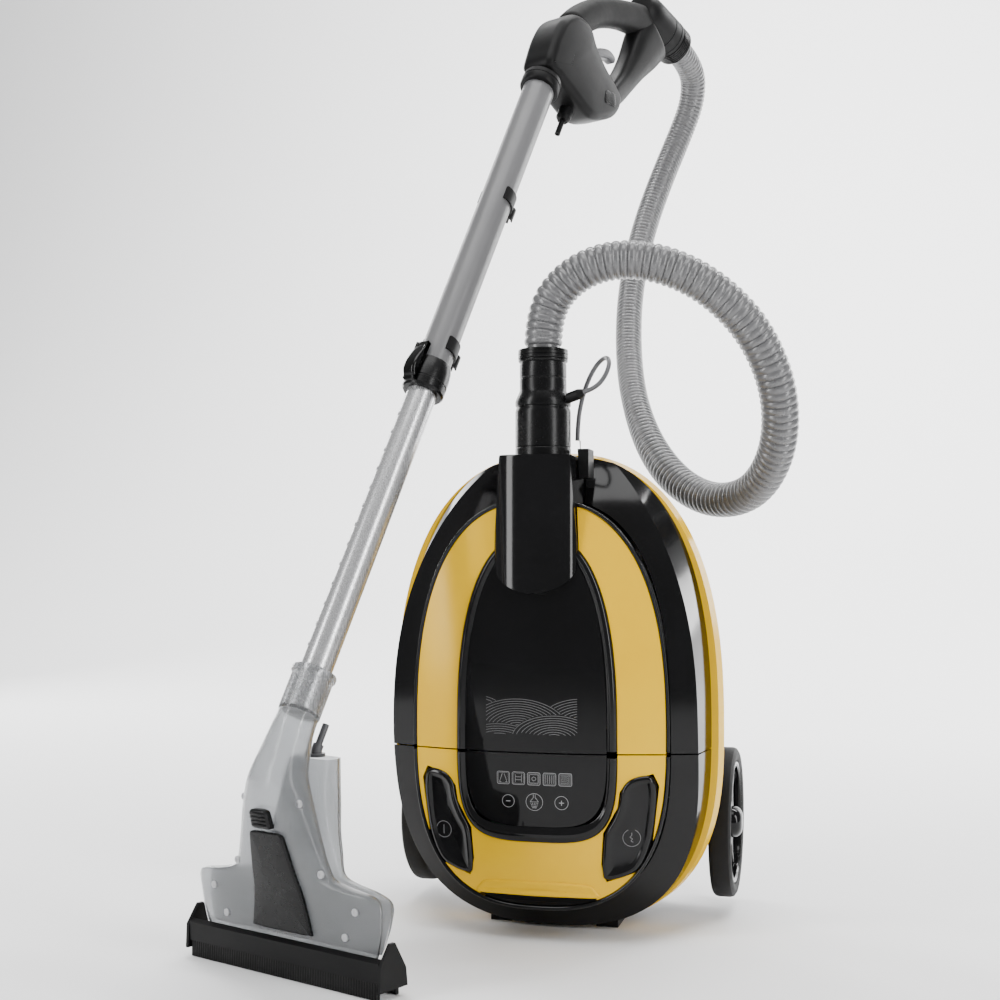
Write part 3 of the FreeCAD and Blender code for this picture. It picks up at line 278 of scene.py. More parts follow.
def moulded_skin():
    """The skin of a moulding, shared by all plastics: two tones that drift slowly, gloss
    that drifts faster with fine handling haze, and a fine grain as height."""
    group = bpy.data.node_groups.new("moulded_skin", "ShaderNodeTree")
    for name, kind in (
        ("Tone", "NodeSocketColor"),
        ("Second Tone", "NodeSocketColor"),
        ("Roughness", "NodeSocketFloat"),
        ("Roughness Drift", "NodeSocketFloat"),
        ("Grain Scale", "NodeSocketFloat"),
    ):
        group.interface.new_socket(name, in_out="INPUT", socket_type=kind)
    for name, kind in (
        ("Tone", "NodeSocketColor"),
        ("Roughness", "NodeSocketFloat"),
        ("Height", "NodeSocketFloat"),
    ):
        group.interface.new_socket(name, in_out="OUTPUT", socket_type=kind)
    nodes_in, links = group.nodes, group.links
    given = nodes_in.new("NodeGroupInput").outputs
    taken = nodes_in.new("NodeGroupOutput").inputs
    coords = nodes_in.new("ShaderNodeTexCoord").outputs["Object"]

    def noise(scale, detail, rough):
        made = nodes_in.new("ShaderNodeTexNoise")
        made.inputs["Scale"].default_value = scale
        made.inputs["Detail"].default_value = detail
        made.inputs["Roughness"].default_value = rough
        links.new(coords, made.inputs["Vector"])
        return made

    drift = nodes_in.new("ShaderNodeMapRange")
    drift.inputs["From Min"].default_value = 0.35
    drift.inputs["From Max"].default_value = 0.65
    links.new(noise(8.0, 4.0, 0.5).outputs["Fac"], drift.inputs["Value"])
    tone = nodes_in.new("ShaderNodeMix")
    tone.data_type = "RGBA"
    links.new(drift.outputs["Result"], tone.inputs[0])
    links.new(given["Tone"], tone.inputs[6])
    links.new(given["Second Tone"], tone.inputs[7])
    links.new(tone.outputs[2], taken["Tone"])

    haze = nodes_in.new("ShaderNodeMath")
    haze.operation = "SUBTRACT"
    haze.inputs[1].default_value = 0.5
    links.new(noise(55.0, 6.0, 0.7).outputs["Fac"], haze.inputs[0])
    rough = nodes_in.new("ShaderNodeMath")
    rough.operation = "MULTIPLY_ADD"
    links.new(haze.outputs[0], rough.inputs[0])
    links.new(given["Roughness Drift"], rough.inputs[1])
    links.new(given["Roughness"], rough.inputs[2])
    links.new(rough.outputs[0], taken["Roughness"])

    grain = noise(1000.0, 2.0, 0.6)
    links.new(given["Grain Scale"], grain.inputs["Scale"])
    links.new(grain.outputs["Fac"], taken["Height"])
    return group


SKIN = moulded_skin()


def plastic(name, tone, second, roughness, grain, grain_depth, coat=0.0, drift=0.3, specular=0.5):
    """Moulded plastic: the shared skin with this moulding's own tones, gloss and grain."""
    shader = Shader(name)
    skin = shader.tree.nodes.new("ShaderNodeGroup")
    skin.node_tree = SKIN
    skin.inputs["Tone"].default_value = (*tone, 1)
    skin.inputs["Second Tone"].default_value = (*second, 1)
    skin.inputs["Roughness"].default_value = roughness
    skin.inputs["Roughness Drift"].default_value = drift
    skin.inputs["Grain Scale"].default_value = grain
    shader.link(skin.outputs["Tone"], shader.principled.inputs["Base Color"])
    shader.link(skin.outputs["Roughness"], shader.principled.inputs["Roughness"])
    shader.bump(skin.outputs["Height"], 1.0, grain_depth)
    shader.set(Coat_Weight=coat, Coat_Roughness=0.04, Specular_IOR_Level=specular)
    return shader.material


gloss_black = plastic(
    "gloss_black", (0.003, 0.003, 0.0032), (0.005, 0.005, 0.0055),
    roughness=0.10, grain=900, grain_depth=0.0000012, coat=0.0, drift=0.08, specular=0.28,
)
window_black = plastic(
    "window_black", (0.003, 0.003, 0.0032), (0.0045, 0.0045, 0.005),
    roughness=0.06, grain=900, grain_depth=0.0000008, coat=0.0, drift=0.06, specular=0.24,
)
yellow = plastic(
    "yellow_lacquer", (0.84, 0.50, 0.0), (0.80, 0.46, 0.0),
    roughness=0.22, grain=700, grain_depth=0.000002, coat=0.0, drift=0.10, specular=0.2,
)
satin_black = plastic(
    "satin_black", (0.004, 0.004, 0.0042), (0.007, 0.007, 0.0073),
    roughness=0.42, grain=1600, grain_depth=0.000012, coat=0.0, drift=0.25, specular=0.14,
)
satin_gloss = plastic(
    "satin_gloss", (0.003, 0.003, 0.0032), (0.005, 0.005, 0.0053),
    roughness=0.27, grain=1500, grain_depth=0.000006, coat=0.0, drift=0.2, specular=0.22,
)
print_grey = plastic(
    "print_grey", (0.30, 0.30, 0.305), (0.26, 0.26, 0.265),
    roughness=0.5, grain=1500, grain_depth=0.000002,
)
print_dim = plastic(
    "print_dim", (0.14, 0.14, 0.143), (0.12, 0.12, 0.123),
    roughness=0.5, grain=1500, grain_depth=0.000002,
)
rubber = plastic(
    "soft_rubber", (0.007, 0.007, 0.007), (0.012, 0.012, 0.012),
    roughness=0.6, grain=1300, grain_depth=0.00002, coat=0.0, drift=0.3, specular=0.15,
)
grey_plastic = plastic(
    "grey_plastic", (0.10, 0.10, 0.105), (0.08, 0.08, 0.085),
    roughness=0.35, grain=1400, grain_depth=0.000008, coat=0.0, drift=0.3, specular=0.4,
)
hose_grey = plastic(
    "hose_grey", (0.13, 0.13, 0.133), (0.105, 0.105, 0.108),
    roughness=0.28, grain=1200, grain_depth=0.000004, coat=0.0, drift=0.2, specular=0.8,
)
tube_grey = plastic(
    "tube_grey", (0.15, 0.15, 0.153), (0.13, 0.13, 0.133),
    roughness=0.34, grain=2200, grain_depth=0.000009, coat=0.0, drift=0.3, specular=0.5,
)
steel = plastic(
    "steel", (0.45, 0.45, 0.46), (0.38, 0.38, 0.4),
    roughness=0.28, grain=1500, grain_depth=0.000006,
)
tank_white = plastic(
    "tank_white", (0.6, 0.62, 0.64), (0.55, 0.57, 0.6),
    roughness=0.35, grain=1200, grain_depth=0.00001,
)
board_green = plastic(
    "board_green", (0.03, 0.16, 0.07), (0.02, 0.12, 0.05),
    roughness=0.4, grain=900, grain_depth=0.00001,
)


def clear_plastic():
    """Slightly smoky clear moulding with flow marks and a faint inner haze."""
    shader = Shader("clear_plastic")
    flow = shader.noise(14.0, 4.0, 0.6)
    shader.link(
        shader.mixed(shader.spread(flow, 0, 1), (0.62, 0.63, 0.64), (0.50, 0.51, 0.52)),
        shader.principled.inputs["Base Color"],
    )
    shader.link(shader.spread(flow, 0.10, 0.24), shader.principled.inputs["Roughness"])
    shader.set(Transmission_Weight=0.86, IOR=1.30)
    shader.bump(shader.noise(120.0, 3.0), 0.5, 0.00006)
    return shader.material


def brushed_tube():
    """Drawn tube: fine scratches that run along the wand."""
    shader = Shader("brushed_tube")
    mapping = shader.node("ShaderNodeMapping")
    shader.link(shader.coords, mapping.inputs["Vector"])
    scratches = shader.node("ShaderNodeTexNoise", Scale=900.0, Detail=3.0)
    mapping.inputs["Scale"].default_value = (1, 1, 0.06)
    shader.link(mapping.outputs["Vector"], scratches.inputs["Vector"])
    shader.link(
        shader.mixed(shader.spread(scratches.outputs["Fac"], 0, 1), (0.62, 0.62, 0.63), (0.54, 0.54, 0.55)),
        shader.principled.inputs["Base Color"],
    )
    shader.link(shader.spread(scratches.outputs["Fac"], 0.20, 0.34), shader.principled.inputs["Roughness"])
    shader.set(Metallic=0.75)
    shader.bump(scratches.outputs["Fac"], 0.4, 0.00001)
    return shader.material


clear = clear_plastic()
brushed = brushed_tube()

BY_SLOT = {
    "gloss_black": gloss_black,
    "yellow_lacquer": yellow,
    "dark_window": window_black,
    "satin_black": satin_black,
    "soft_grip": rubber,
    "grey_hose": hose_grey,
    "grey_tube": tube_grey,
    "silver_tube": brushed,
    "clear_plastic": clear,
    "grey_plastic": grey_plastic,
    "tyre": rubber,
    "steel": steel,
    "tank_plastic": tank_white,
    "copper_motor": satin_black,
    "filter_foam": tank_white,
    "board_green": board_green,
}
SLOT_OF = {item["node"]: item["material_slot"] for item in record["subparts"]}
for node_name, node in nodes.items():
    node.data.materials.clear()
    node.data.materials.append(BY_SLOT[SLOT_OF[node_name]])

# ------------------------------------------------------------------- cords


def nurbs_points(route, step):
    """Evenly spaced points of a NURBS spline with the route as its control points."""
    curve = bpy.data.curves.new("route", "CURVE")
    curve.dimensions = "3D"
    curve.resolution_u = 32
    spline = curve.splines.new("NURBS")
    spline.points.add(len(route) - 1)
    for point, at in zip(spline.points, route):
        point.co = (*at, 1)
    spline.order_u = 3
    spline.use_endpoint_u = True
    holder = bpy.data.objects.new("route", curve)
    bpy.context.scene.collection.objects.link(holder)
    bpy.context.view_layer.update()
    mesh = bpy.data.meshes.new_from_object(holder)
    dense = np.array([v.co[:] for v in mesh.vertices])
    bpy.data.objects.remove(holder)
    bpy.data.meshes.remove(mesh)
    length = np.linalg.norm(np.diff(dense, axis=0), axis=1).sum()
    return even_points(dense, int(round(length / step)) + 1), length


def tube_rings(path, radii, columns):
    """Rings of the given radii round a path, carried along it without twist."""
    tangents = np.gradient(path, axis=0)
    tangents /= np.linalg.norm(tangents, axis=1)[:, None]
    side = np.cross(tangents[0], [0.3, 0.9, 0.1])
    angles = np.linspace(0, 2 * math.pi, columns, endpoint=False)
    rings = []
    for centre, tangent, radius in zip(path, tangents, radii):
        side = side - tangent * np.dot(side, tangent)
        side /= np.linalg.norm(side)
        other = np.cross(tangent, side)
        rings.append(centre + radius * (np.outer(np.cos(angles), side) + np.outer(np.sin(angles), other)))
    return np.array(rings)


CUFF_Y = float(joint["cuff_ring_turn"]["pos_m"][1])
hose_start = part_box("cuff_swivel")[1][2] + 0.0003
hose_end = NECK_END + NECK * 0.0186
HOSE_ROUTE = [
    (0, CUFF_Y, hose_start),
    (0, CUFF_Y, hose_start + 0.035),
    (0.025, -0.093, 0.645),
    (0.068, -0.092, 0.662),
    (0.118, -0.086, 0.656),
    (0.166, -0.074, 0.631),
    (0.205, -0.055, 0.589),
    (0.226, -0.029, 0.533),
    (0.222, 0.004, 0.478),
    (0.194, 0.046, 0.438),
    (0.148, 0.092, 0.431),
    (0.100, 0.140, 0.455),
    (0.060, 0.190, 0.503),
    (0.032, 0.242, 0.568),
    (0.018, 0.290, 0.640),
    (0.015, 0.328, 0.715),
    (0.024, 0.369, 0.795),
    (0.042, 0.404, 0.868),
    (0.063, 0.424, 0.928),
    (0.083, 0.418, 0.975),
    tuple(hose_end + NECK * 0.046),
    tuple(hose_end),
]


def make_hose():
    """Ribbed hose. Radius = mean + half the rib height times a rounded wave of the
    distance along it; the ribs are wide in the first loop and close together on the
    stretch that rises to the handle."""
    path, length = nurbs_points(HOSE_ROUTE, 0.0006)
    along = np.linspace(0, length, len(path))
    loop_end, rise_start = 0.62, 0.78
    blend = np.clip((along - loop_end) / (rise_start - loop_end), 0, 1)
    blend = blend * blend * (3 - 2 * blend)
    pitch = 0.0074 + (0.0050 - 0.0074) * blend
    phase = np.concatenate([[0], np.cumsum(np.diff(along) / pitch[1:])])
    wave = np.abs(np.cos(math.pi * phase)) ** 0.55
    outer = 0.0188 + (0.0162 - 0.0188) * blend
    depth = 0.0023 + (0.0012 - 0.0023) * blend
    radii = outer - depth * (1 - wave)
    plain = np.minimum(along, length - along) < 0.004
    radii = np.where(plain, outer - depth, radii)
    rings = tube_rings(path, radii, 36)
    hose = rings_object("hose_tube", rings, hose_grey, "canister", 60)
    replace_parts(hose, "hose")
    return length


socket_top = 0.470
water_start = (0.033, -0.084, socket_top + 0.0163)
WATER_ROUTE = [
    water_start,
    (0.033, -0.082, socket_top + 0.035),
    (0.036, -0.079, socket_top + 0.056),
    (0.042, -0.077, socket_top + 0.076),
    (0.052, -0.080, socket_top + 0.092),
    (0.063, -0.090, socket_top + 0.097),
    (0.069, -0.103, socket_top + 0.089),
    (0.066, -0.111, socket_top + 0.075),
    (0.056, -0.1077, socket_top + 0.0646),
    (0.0435, -0.1035, socket_top + 0.0612),
]


def make_water_tube():
    """The small smooth water tube, a plain round tube along its route."""
    path, length = nurbs_points(WATER_ROUTE, 0.001)
    rings = tube_rings(path, np.full(len(path), 0.00225), 20)
    tube = rings_object("water_line", rings, grey_plastic, "canister", 60)
    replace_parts(tube, "water_tube")
    return length


print("hose length", make_hose(), "water tube length", make_water_tube())

# ------------------------------------------------------------ shape helpers


def closed_normals(outline):
    """Outward unit normals of a closed outline in its own plane."""
    ahead = np.roll(outline, -1, axis=0) - np.roll(outline, 1, axis=0)
    normals = np.stack([ahead[:, 1], -ahead[:, 0]], 1)
    normals /= np.linalg.norm(normals, axis=1)[:, None]
    x, y = outline[:, 0], outline[:, 1]
    area = np.sum(x * np.roll(y, -1) - y * np.roll(x, -1))
    return normals * math.copysign(1, area)


def pillow_rings(outline, half, edge, place, count=120, crown=0.0):
    """Rings of a rounded plate. At angle t of the edge, the outline is drawn in by
    edge * (1 - cos t) and stands at half - edge * (1 - sin t) from the middle, on
    both sides; crown lifts the middle of each side."""
    outline = smooth_curve(outline, count + 1, closed=True)[:-1]
    normals = closed_normals(outline)
    centre = outline.mean(axis=0)
    rings = []
    turns = np.linspace(0, math.pi / 2, 7)
    for side, angles in ((-1, turns[::-1]), (1, turns)):
        if side < 0 and crown:
            inner = centre + (outline - normals * edge - centre) * 0.55
            rings.append((inner, -half - crown))
        for angle in angles:
            drawn = outline - normals * edge * (1 - math.cos(angle))
            rings.append((drawn, side * (half - edge * (1 - math.sin(angle)))))
        if side > 0 and crown:
            inner = centre + (outline - normals * edge - centre) * 0.55
            rings.append((inner, half + crown))
    return [place(np.column_stack([np.full(len(ring), across), ring])) for ring, across in rings]


def pillow(name, outline, half, edge, place, material, body, crown=0.0, sharp=40):
    """A flat outline with thickness, its edge a quarter circle, with an optional crown."""
    rings = pillow_rings(outline, half, edge, place, crown=crown)
    return rings_object(name, rings, material, body, sharp)


def merged(name, groups, material, body, sharp=40):
    """Several closed ring solids in one piece."""
    vertices, faces = [], []
    for rings in groups:
        rings = np.asarray(rings, float)
        rows, columns, _ = rings.shape
        points = rings.reshape(-1, 3)
        made = faced_outwards(points, grid_faces(rows, columns))
        start = len(vertices)
        vertices.extend(points)
        faces.extend(tuple(index + start for index in face) for face in made)
    return new_object(name, vertices, faces, material, body, sharp)


def table(columns, wanted):
    """Smoothly interpolates rows of measurements at the wanted first-column values."""
    columns = np.asarray(columns, float)
    dense = smooth_curve(columns, 400)
    return np.stack([np.interp(wanted, dense[:, 0], dense[:, axis]) for axis in range(1, dense.shape[1])], 1)


def super_ring(half_across, front, back, power_across, power_back, count=96):
    """One closed outline: across = half * cos^(2/p), back = middle + depth * sin^(2/q)."""
    angles = np.linspace(0, 2 * math.pi, count, endpoint=False)
    across = half_across * np.sign(np.cos(angles)) * np.abs(np.cos(angles)) ** (2 / power_across)
    depth = (back - front) / 2
    behind = (back + front) / 2 + depth * np.sign(np.sin(angles)) * np.abs(np.sin(angles)) ** (2 / power_back)
    return across, behind


# ---------------------------------------------------------- cuff and socket

cuff_place = axis_place((0, CUFF_Y, 0), UP)
CUFF_PROFILE = [
    (26.4, 415), (27.2, 416), (27.3, 417), (27.3, 478), (26.9, 478.5), (26.9, 479.3), (27.3, 479.8),
    (27.3, 514), (26.6, 517), (26.0, 518), (26.0, 519), (27.1, 519.6), (27.3, 521), (27.3, 524),
    (26.4, 527), (24.0, 532.4), (23.1, 534.5), (23.0, 537), (23.0, 546), (22.5, 546.6), (22.5, 547.4),
    (23.0, 548), (23.0, 560), (22.4, 561.4), (22.4, 562.2), (23.8, 563), (24.3, 564), (24.3, 565.2),
]
cuff = lathe("cuff", CUFF_PROFILE, cuff_place, satin_gloss, "canister", 96)
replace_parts(cuff, "hose_cuff")
RING_PROFILE = [
    (23.4, 565.6), (24.3, 565.9), (24.6, 566.6), (24.6, 568.6), (24.0, 569), (24.0, 569.6), (24.6, 570),
    (24.6, 572), (24.0, 572.4), (24.0, 573), (24.5, 573.4), (24.3, 574.9), (23.6, 575.3),
]
ring = lathe("cuff_ring_piece", RING_PROFILE, cuff_place, satin_gloss, "cuff_ring", 96)
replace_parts(ring, "cuff_swivel")

SOCKET_TOP, SOCKET_LOW, SOCKET_HALF_TOP, SOCKET_HALF_LOW = 470.0, 368.0, 34.8, 42.0
SOCKET_SHOULDER, SOCKET_BULGE, SOCKET_BACK = -119.0, 18.0, -62.0
BORE_Y, BORE_RADIUS, BORE_DEPTH = -91.0, 27.7, 50.0


def socket_section(half, height, edge=0.0):
    """A level cut: an elliptic bow in front of the shoulder, square behind it."""
    x = np.linspace(-half + edge, half - edge, 61)
    bow = SOCKET_SHOULDER - (SOCKET_BULGE - edge) * np.sqrt(np.clip(1 - (x / SOCKET_HALF_LOW) ** 2, 0, 1))
    back = np.full(13, SOCKET_BACK - edge)
    behind = np.linspace(half - edge, -half + edge, 13)
    across = np.concatenate([x, behind])
    depth = np.concatenate([bow, back])
    return np.column_stack([across, depth, np.full(len(across), height)]) / 1000


def hose_socket():
    """The socket's barrel: cuts that widen along half an ellipse at the round lower end,
    then narrow to the top, where the wall turns over into the bore."""
    drop = 0.74 * SOCKET_HALF_LOW
    rings = []
    for angle in np.linspace(0.02, math.pi / 2, 18):
        rings.append(socket_section(SOCKET_HALF_LOW * math.sin(angle), SOCKET_LOW - drop * math.cos(angle)))
    for share in np.linspace(0.08, 0.98, 10):
        half = SOCKET_HALF_LOW + (SOCKET_HALF_TOP - SOCKET_HALF_LOW) * share
        rings.append(socket_section(half, SOCKET_LOW + (SOCKET_TOP - SOCKET_LOW) * share))
    for edge, down in ((0.0, 1.4), (0.4, 0.4), (1.4, 0.0)):
        rings.append(socket_section(SOCKET_HALF_TOP, SOCKET_TOP - down, edge))
    around = np.arctan2(rings[-1][:, 1] * 1000 - BORE_Y, rings[-1][:, 0] * 1000)
    for down in (0.0, BORE_DEPTH):
        bore_x, bore_y = BORE_RADIUS * np.cos(around), BORE_Y + BORE_RADIUS * np.sin(around)
        bore = [bore_x, bore_y, np.full(len(around), SOCKET_TOP - down)]
        rings.append(np.column_stack(bore) / 1000)
    return rings_object("socket_barrel", rings, gloss_black, "canister", 35)


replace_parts(hose_socket(), "hose_socket")

# ------------------------------------------------------------------- handle

SHELL = [
    (-12, 14), (-6, 34), (4, 54), (18, 72), (38, 83), (58, 84), (74, 76), (84, 60),
    (102, 42), (122, 28), (135, 14), (132, 0), (120, -12), (100, -20), (78, -25), (60, -22), (26, -6), (4, 4),
]
shell = pillow("handle_body", SHELL, 21, 9, in_handle, satin_black, "canister", crown=1.5)
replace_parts(shell, "handle_shell")


def swept(name, centres, halves, material, body, power=2.4, place=in_handle, count=48):
    """A bar whose section is a superellipse, carried along (back, up) centres. Each
    row of halves gives the half width across and the half height in the plane."""
    rows = smooth_curve(np.column_stack([centres, halves]), 60)
    path, sizes = rows[:, :2], rows[:, 2:]
    tangents = np.gradient(path, axis=0)
    tangents /= np.linalg.norm(tangents, axis=1)[:, None]
    normals = np.stack([-tangents[:, 1], tangents[:, 0]], 1)
    angles = np.linspace(0, 2 * math.pi, count, endpoint=False)
    first = np.sign(np.cos(angles)) * np.abs(np.cos(angles)) ** (2 / power)
    second = np.sign(np.sin(angles)) * np.abs(np.sin(angles)) ** (2 / power)
    rings = []
    for index, (centre, normal, (wide, high)) in enumerate(zip(path, normals, sizes)):
        inset = {0: 0.72, 1: 0.93, len(path) - 2: 0.93, len(path) - 1: 0.72}.get(index, 1.0)
        in_plane = centre + np.outer(second * high * inset, normal)
        rings.append(place(np.column_stack([first * wide * inset, in_plane])))
    return rings_object(name, rings, material, body, 50)


grip = swept(
    "grip_bar",
    [(52, 76), (76, 92), (104, 107), (134, 117), (166, 124), (200, 128), (222, 128)],
    [(17, 15), (17, 17), (16, 17), (15.5, 16.5), (16, 17), (17, 19), (17, 19)],
    rubber, "canister",
)
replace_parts(grip, "handle_grip")
strut = swept(
    "neck_strut",
    [(126, 12), (142, 24), (162, 42), (184, 66), (206, 92), (226, 116)],
    [(16, 13), (15, 14), (14, 15), (15, 19), (17, 27), (19, 32)],
    satin_black, "canister", 3.0,
)
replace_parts(strut, "handle_neck")
neck_place = axis_place(NECK_END, NECK, UP)
NECK_PROFILE = [
    (12, -74), (18, -73), (22, -68), (24.2, -58), (24.5, -48), (24.5, -22), (24.0, -21.4), (24.0, -20.4),
    (24.5, -20), (24.5, -8), (24.0, -7.4), (24.0, -6.4), (24.5, -6), (24.5, -1.4), (23.6, -0.4),
]
lathe("neck_barrel", NECK_PROFILE, neck_place, satin_black, "canister", 80)
SWIVEL_PROFILE = [(22.6, 0.4), (23.8, 0.8), (24.0, 1.6)]
for step in range(5):
    base = 2.6 + step * 3.0
    SWIVEL_PROFILE += [(24.0, base), (23.2, base + 0.4), (23.2, base + 1.2), (24.0, base + 1.6)]
SWIVEL_PROFILE += [(23.6, 17.6), (22.4, 18.1)]
swivel = lathe("neck_ring_piece", SWIVEL_PROFILE, neck_place, satin_gloss, "neck_ring", 80)
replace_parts(swivel, "handle_swivel")
TRIGGER = [
    (72, 50), (76, 58), (92, 62), (112, 69), (130, 71.5), (142, 66), (140, 59),
    (128, 60.5), (112, 58), (96, 51), (80, 43),
]
trigger = pillow("trigger_lever", TRIGGER, 6.0, 2.6, in_handle, grey_plastic, "trigger")
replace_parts(trigger, "spray_trigger")
button = pillow(
    "side_button",
    [(94.5, -1.5), (94.5, 11.5), (105, 12.2), (115.5, 11.5), (115.5, -1.5), (105, -2.2)],
    3.0, 1.0,
    lambda points: in_handle(points + np.array([19.6, 0, 0])),
    satin_gloss, "side_button",
)
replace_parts(button, "release_button")

# --------------------------------------------------------------- wand tubes


def tube_lathe(name, profile, material, body, start=0.0, columns=64):
    """A turned piece on the wand's tube, its profile moved up by the start."""
    profile = [(radius, along + start) for radius, along in profile]
    return lathe(name, profile, in_tube, material, body, columns)


top_collar = tube_lathe(
    "handle_collar",
    [(18.6, -14), (21.2, -13.4), (22.0, -12), (22.0, -5), (21.4, -4.6), (21.4, -3.8),
     (22.0, -3.4), (21.6, 1.6), (19, 3)],
    satin_black, "canister", TUBE_END * 1000,
)
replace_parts(top_collar, "tube_collar")
lock = tube_lathe(
    "lock_body",
    [(16.6, 0), (19.8, 0.4), (21.4, 2.6), (21.5, 10), (20.9, 10.6), (20.9, 11.6), (21.5, 12.2),
     (21.3, 22), (20.5, 30), (19.2, 34.6), (17.9, 35)],
    satin_gloss, "canister", 349,
)
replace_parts(lock, "lock_collar")
SLIDER = [(-22.0, 353), (-26.5, 354), (-30.5, 360), (-31.0, 369), (-28.5, 380), (-24.5, 391), (-22.0, 395)]
slider = pillow("lock_slider_piece", SLIDER, 7.5, 3.0, in_tube, gloss_black, "tube_lock")
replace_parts(slider, "lock_slider")
dots = []
for step in range(13):
    angle = math.radians(-118)
    across, behind = math.cos(angle), math.sin(angle)
    along = 66 + step * 21.0
    centre = in_tube([(across * 15.0, behind * 15.0, along)])[0]
    outward = across * ACROSS + behind * TUBE_SIDE
    spot = axis_place(centre, outward, TUBE_AXIS)
    dots.append(lathe_rings([(2.2, -0.6), (2.2, 0.25), (1.7, 0.55), (0.8, 0.7)], spot, 20))
merged("index_dots", dots, brushed, "wand")

# ------------------------------------------------------------------- nozzle

FRONT_ROWS = [
    # height, half width, front, back
    (29, 103, -6, 4), (34, 106.5, -7, 4.4), (50, 110.5, -8.5, 4.4), (66, 112.5, -10.5, 4),
    (78, 112, -13, 3.4), (84, 104, -14.5, 3), (88, 78, -16, 3), (93, 60, -17.5, 3),
    (101, 54.5, -20, 3), (112, 50, -23, 3), (134, 43, -29, 4), (150, 38, -33.5, 5),
    (165, 33, -36.5, 6), (178, 28, -37, 7), (190, 24.5, -33, 11), (199, 22.5, -28, 14),
]
front_heights = np.concatenate([np.linspace(29, 78, 18), np.linspace(80, 96, 14), np.linspace(99, 199, 30)])
front_sizes = table(FRONT_ROWS, front_heights)


FOOT_POWER, POWER_DROP, SHOULDER_UP, NECK_SPAN = 5.0, 2.7, 84, 80
DEPTH_POWER = 2.6


def front_power(height):
    """The exponent of the front's section: boxy at the foot, rounder up the neck."""
    return FOOT_POWER - POWER_DROP * min(max((height - SHOULDER_UP) / NECK_SPAN, 0), 1)


def front_rings(inset=0.0):
    """The nozzle's front half: super-ellipse sections that shrink with height, then
    three circles round the tube's axis. The inset draws every section in."""
    rings = []
    for height, (half, front, back) in zip(front_heights, front_sizes):
        power = front_power(height)
        across, behind = super_ring(half - inset, front + inset, back - inset, power, DEPTH_POWER)
        rings.append(in_wand(np.column_stack([across, behind, np.full(len(across), height)])))
    for along, radius in ((-14, 19.4), (-6, 18.8), (1, 18.5)):
        across, behind = super_ring(radius - inset, -radius + inset, radius - inset, 2, 2)
        rings.append(in_tube(np.column_stack([across, behind, np.full(len(across), along)])))
    return rings


def shell_with_inside(name, outer, inner, material, body):
    """A closed wall: outer rings, then the inner rings backwards, joined at both ends."""
    rings = np.concatenate([np.asarray(outer), np.asarray(inner)[::-1]])
    rows, columns, _ = rings.shape
    faces = grid_faces(rows, columns, capped=False)
    last = (rows - 1) * columns
    for column in range(columns):
        following = (column + 1) % columns
        faces.append((last + column, last + following, following, column))
    points = rings.reshape(-1, 3)
    total = sum(np.dot(np.cross(points[f[0]], points[f[1]]), points[f[2]])
                + np.dot(np.cross(points[f[0]], points[f[2]]), points[f[3]]) for f in faces)
    if total < 0:
        faces = [tuple(reversed(face)) for face in faces]
    return new_object(name, points, faces, material, body, 40)


nozzle = shell_with_inside("nozzle_front", front_rings(), front_rings(2.2), clear, "wand")
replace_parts(nozzle, "nozzle_shell")

CHAMBER_ROWS = [
    # height, half width, front, back
    (33, 104, 5.2, 6.5), (46, 109, 5.2, 9), (60, 112, 5.2, 13), (76, 112, 5.2, 15.5),
    (83, 96, 5.2, 17), (88, 66, 5.2, 18.5), (94, 52, 5.2, 21), (110, 44, 5.4, 28),
    (127, 36.5, 6.2, 34), (150, 31, 7.5, 40), (172, 27, 12, 43), (190, 24, 18.5, 45),
]
chamber_heights = np.concatenate([
    np.linspace(33, 76, 14), np.linspace(78, 97, 14), np.linspace(100, 190, 26),
])
chamber_sizes = table(CHAMBER_ROWS, chamber_heights)


LEAST_DEPTH = 0.6


def chamber_rings(inset=0.0):
    """The spray chamber: super-ellipse sections by height, never thinner than the
    least depth once they are drawn in."""
    rings = []
    for height, (half, front, back) in zip(chamber_heights, chamber_sizes):
        rear = max(back - inset, front + inset + LEAST_DEPTH)
        across, behind = super_ring(half - inset, front + inset, rear, 5, 3.2)
        rings.append(in_wand(np.column_stack([across, behind, np.full(len(across), height)])))
    return rings


chamber = shell_with_inside(
    "nozzle_chamber", chamber_rings(), chamber_rings(2.0), clear, "wand",
)
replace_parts(chamber, "spray_chamber")
sleeve = tube_lathe(
    "clear_sleeve",
    [(15.6, 1.6), (19.2, 1.6), (19.5, 2.4), (19.5, 36), (20.2, 38), (21.2, 39), (21.2, 43),
     (20.6, 44), (15.6, 44)],
    clear, "wand", 0.0,
)
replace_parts(sleeve, "nozzle_sleeve")


def front_at(across, height):
    """The nozzle's front surface, as the back coordinate at an across and a height."""
    half, front, back = table(FRONT_ROWS, np.array([height]))[0]
    share = min(abs(across) / half, 0.999)
    middle, depth = (front + back) / 2, (back - front) / 2
    return middle - depth * (1 - share ** front_power(height)) ** (1 / DEPTH_POWER) if share else front


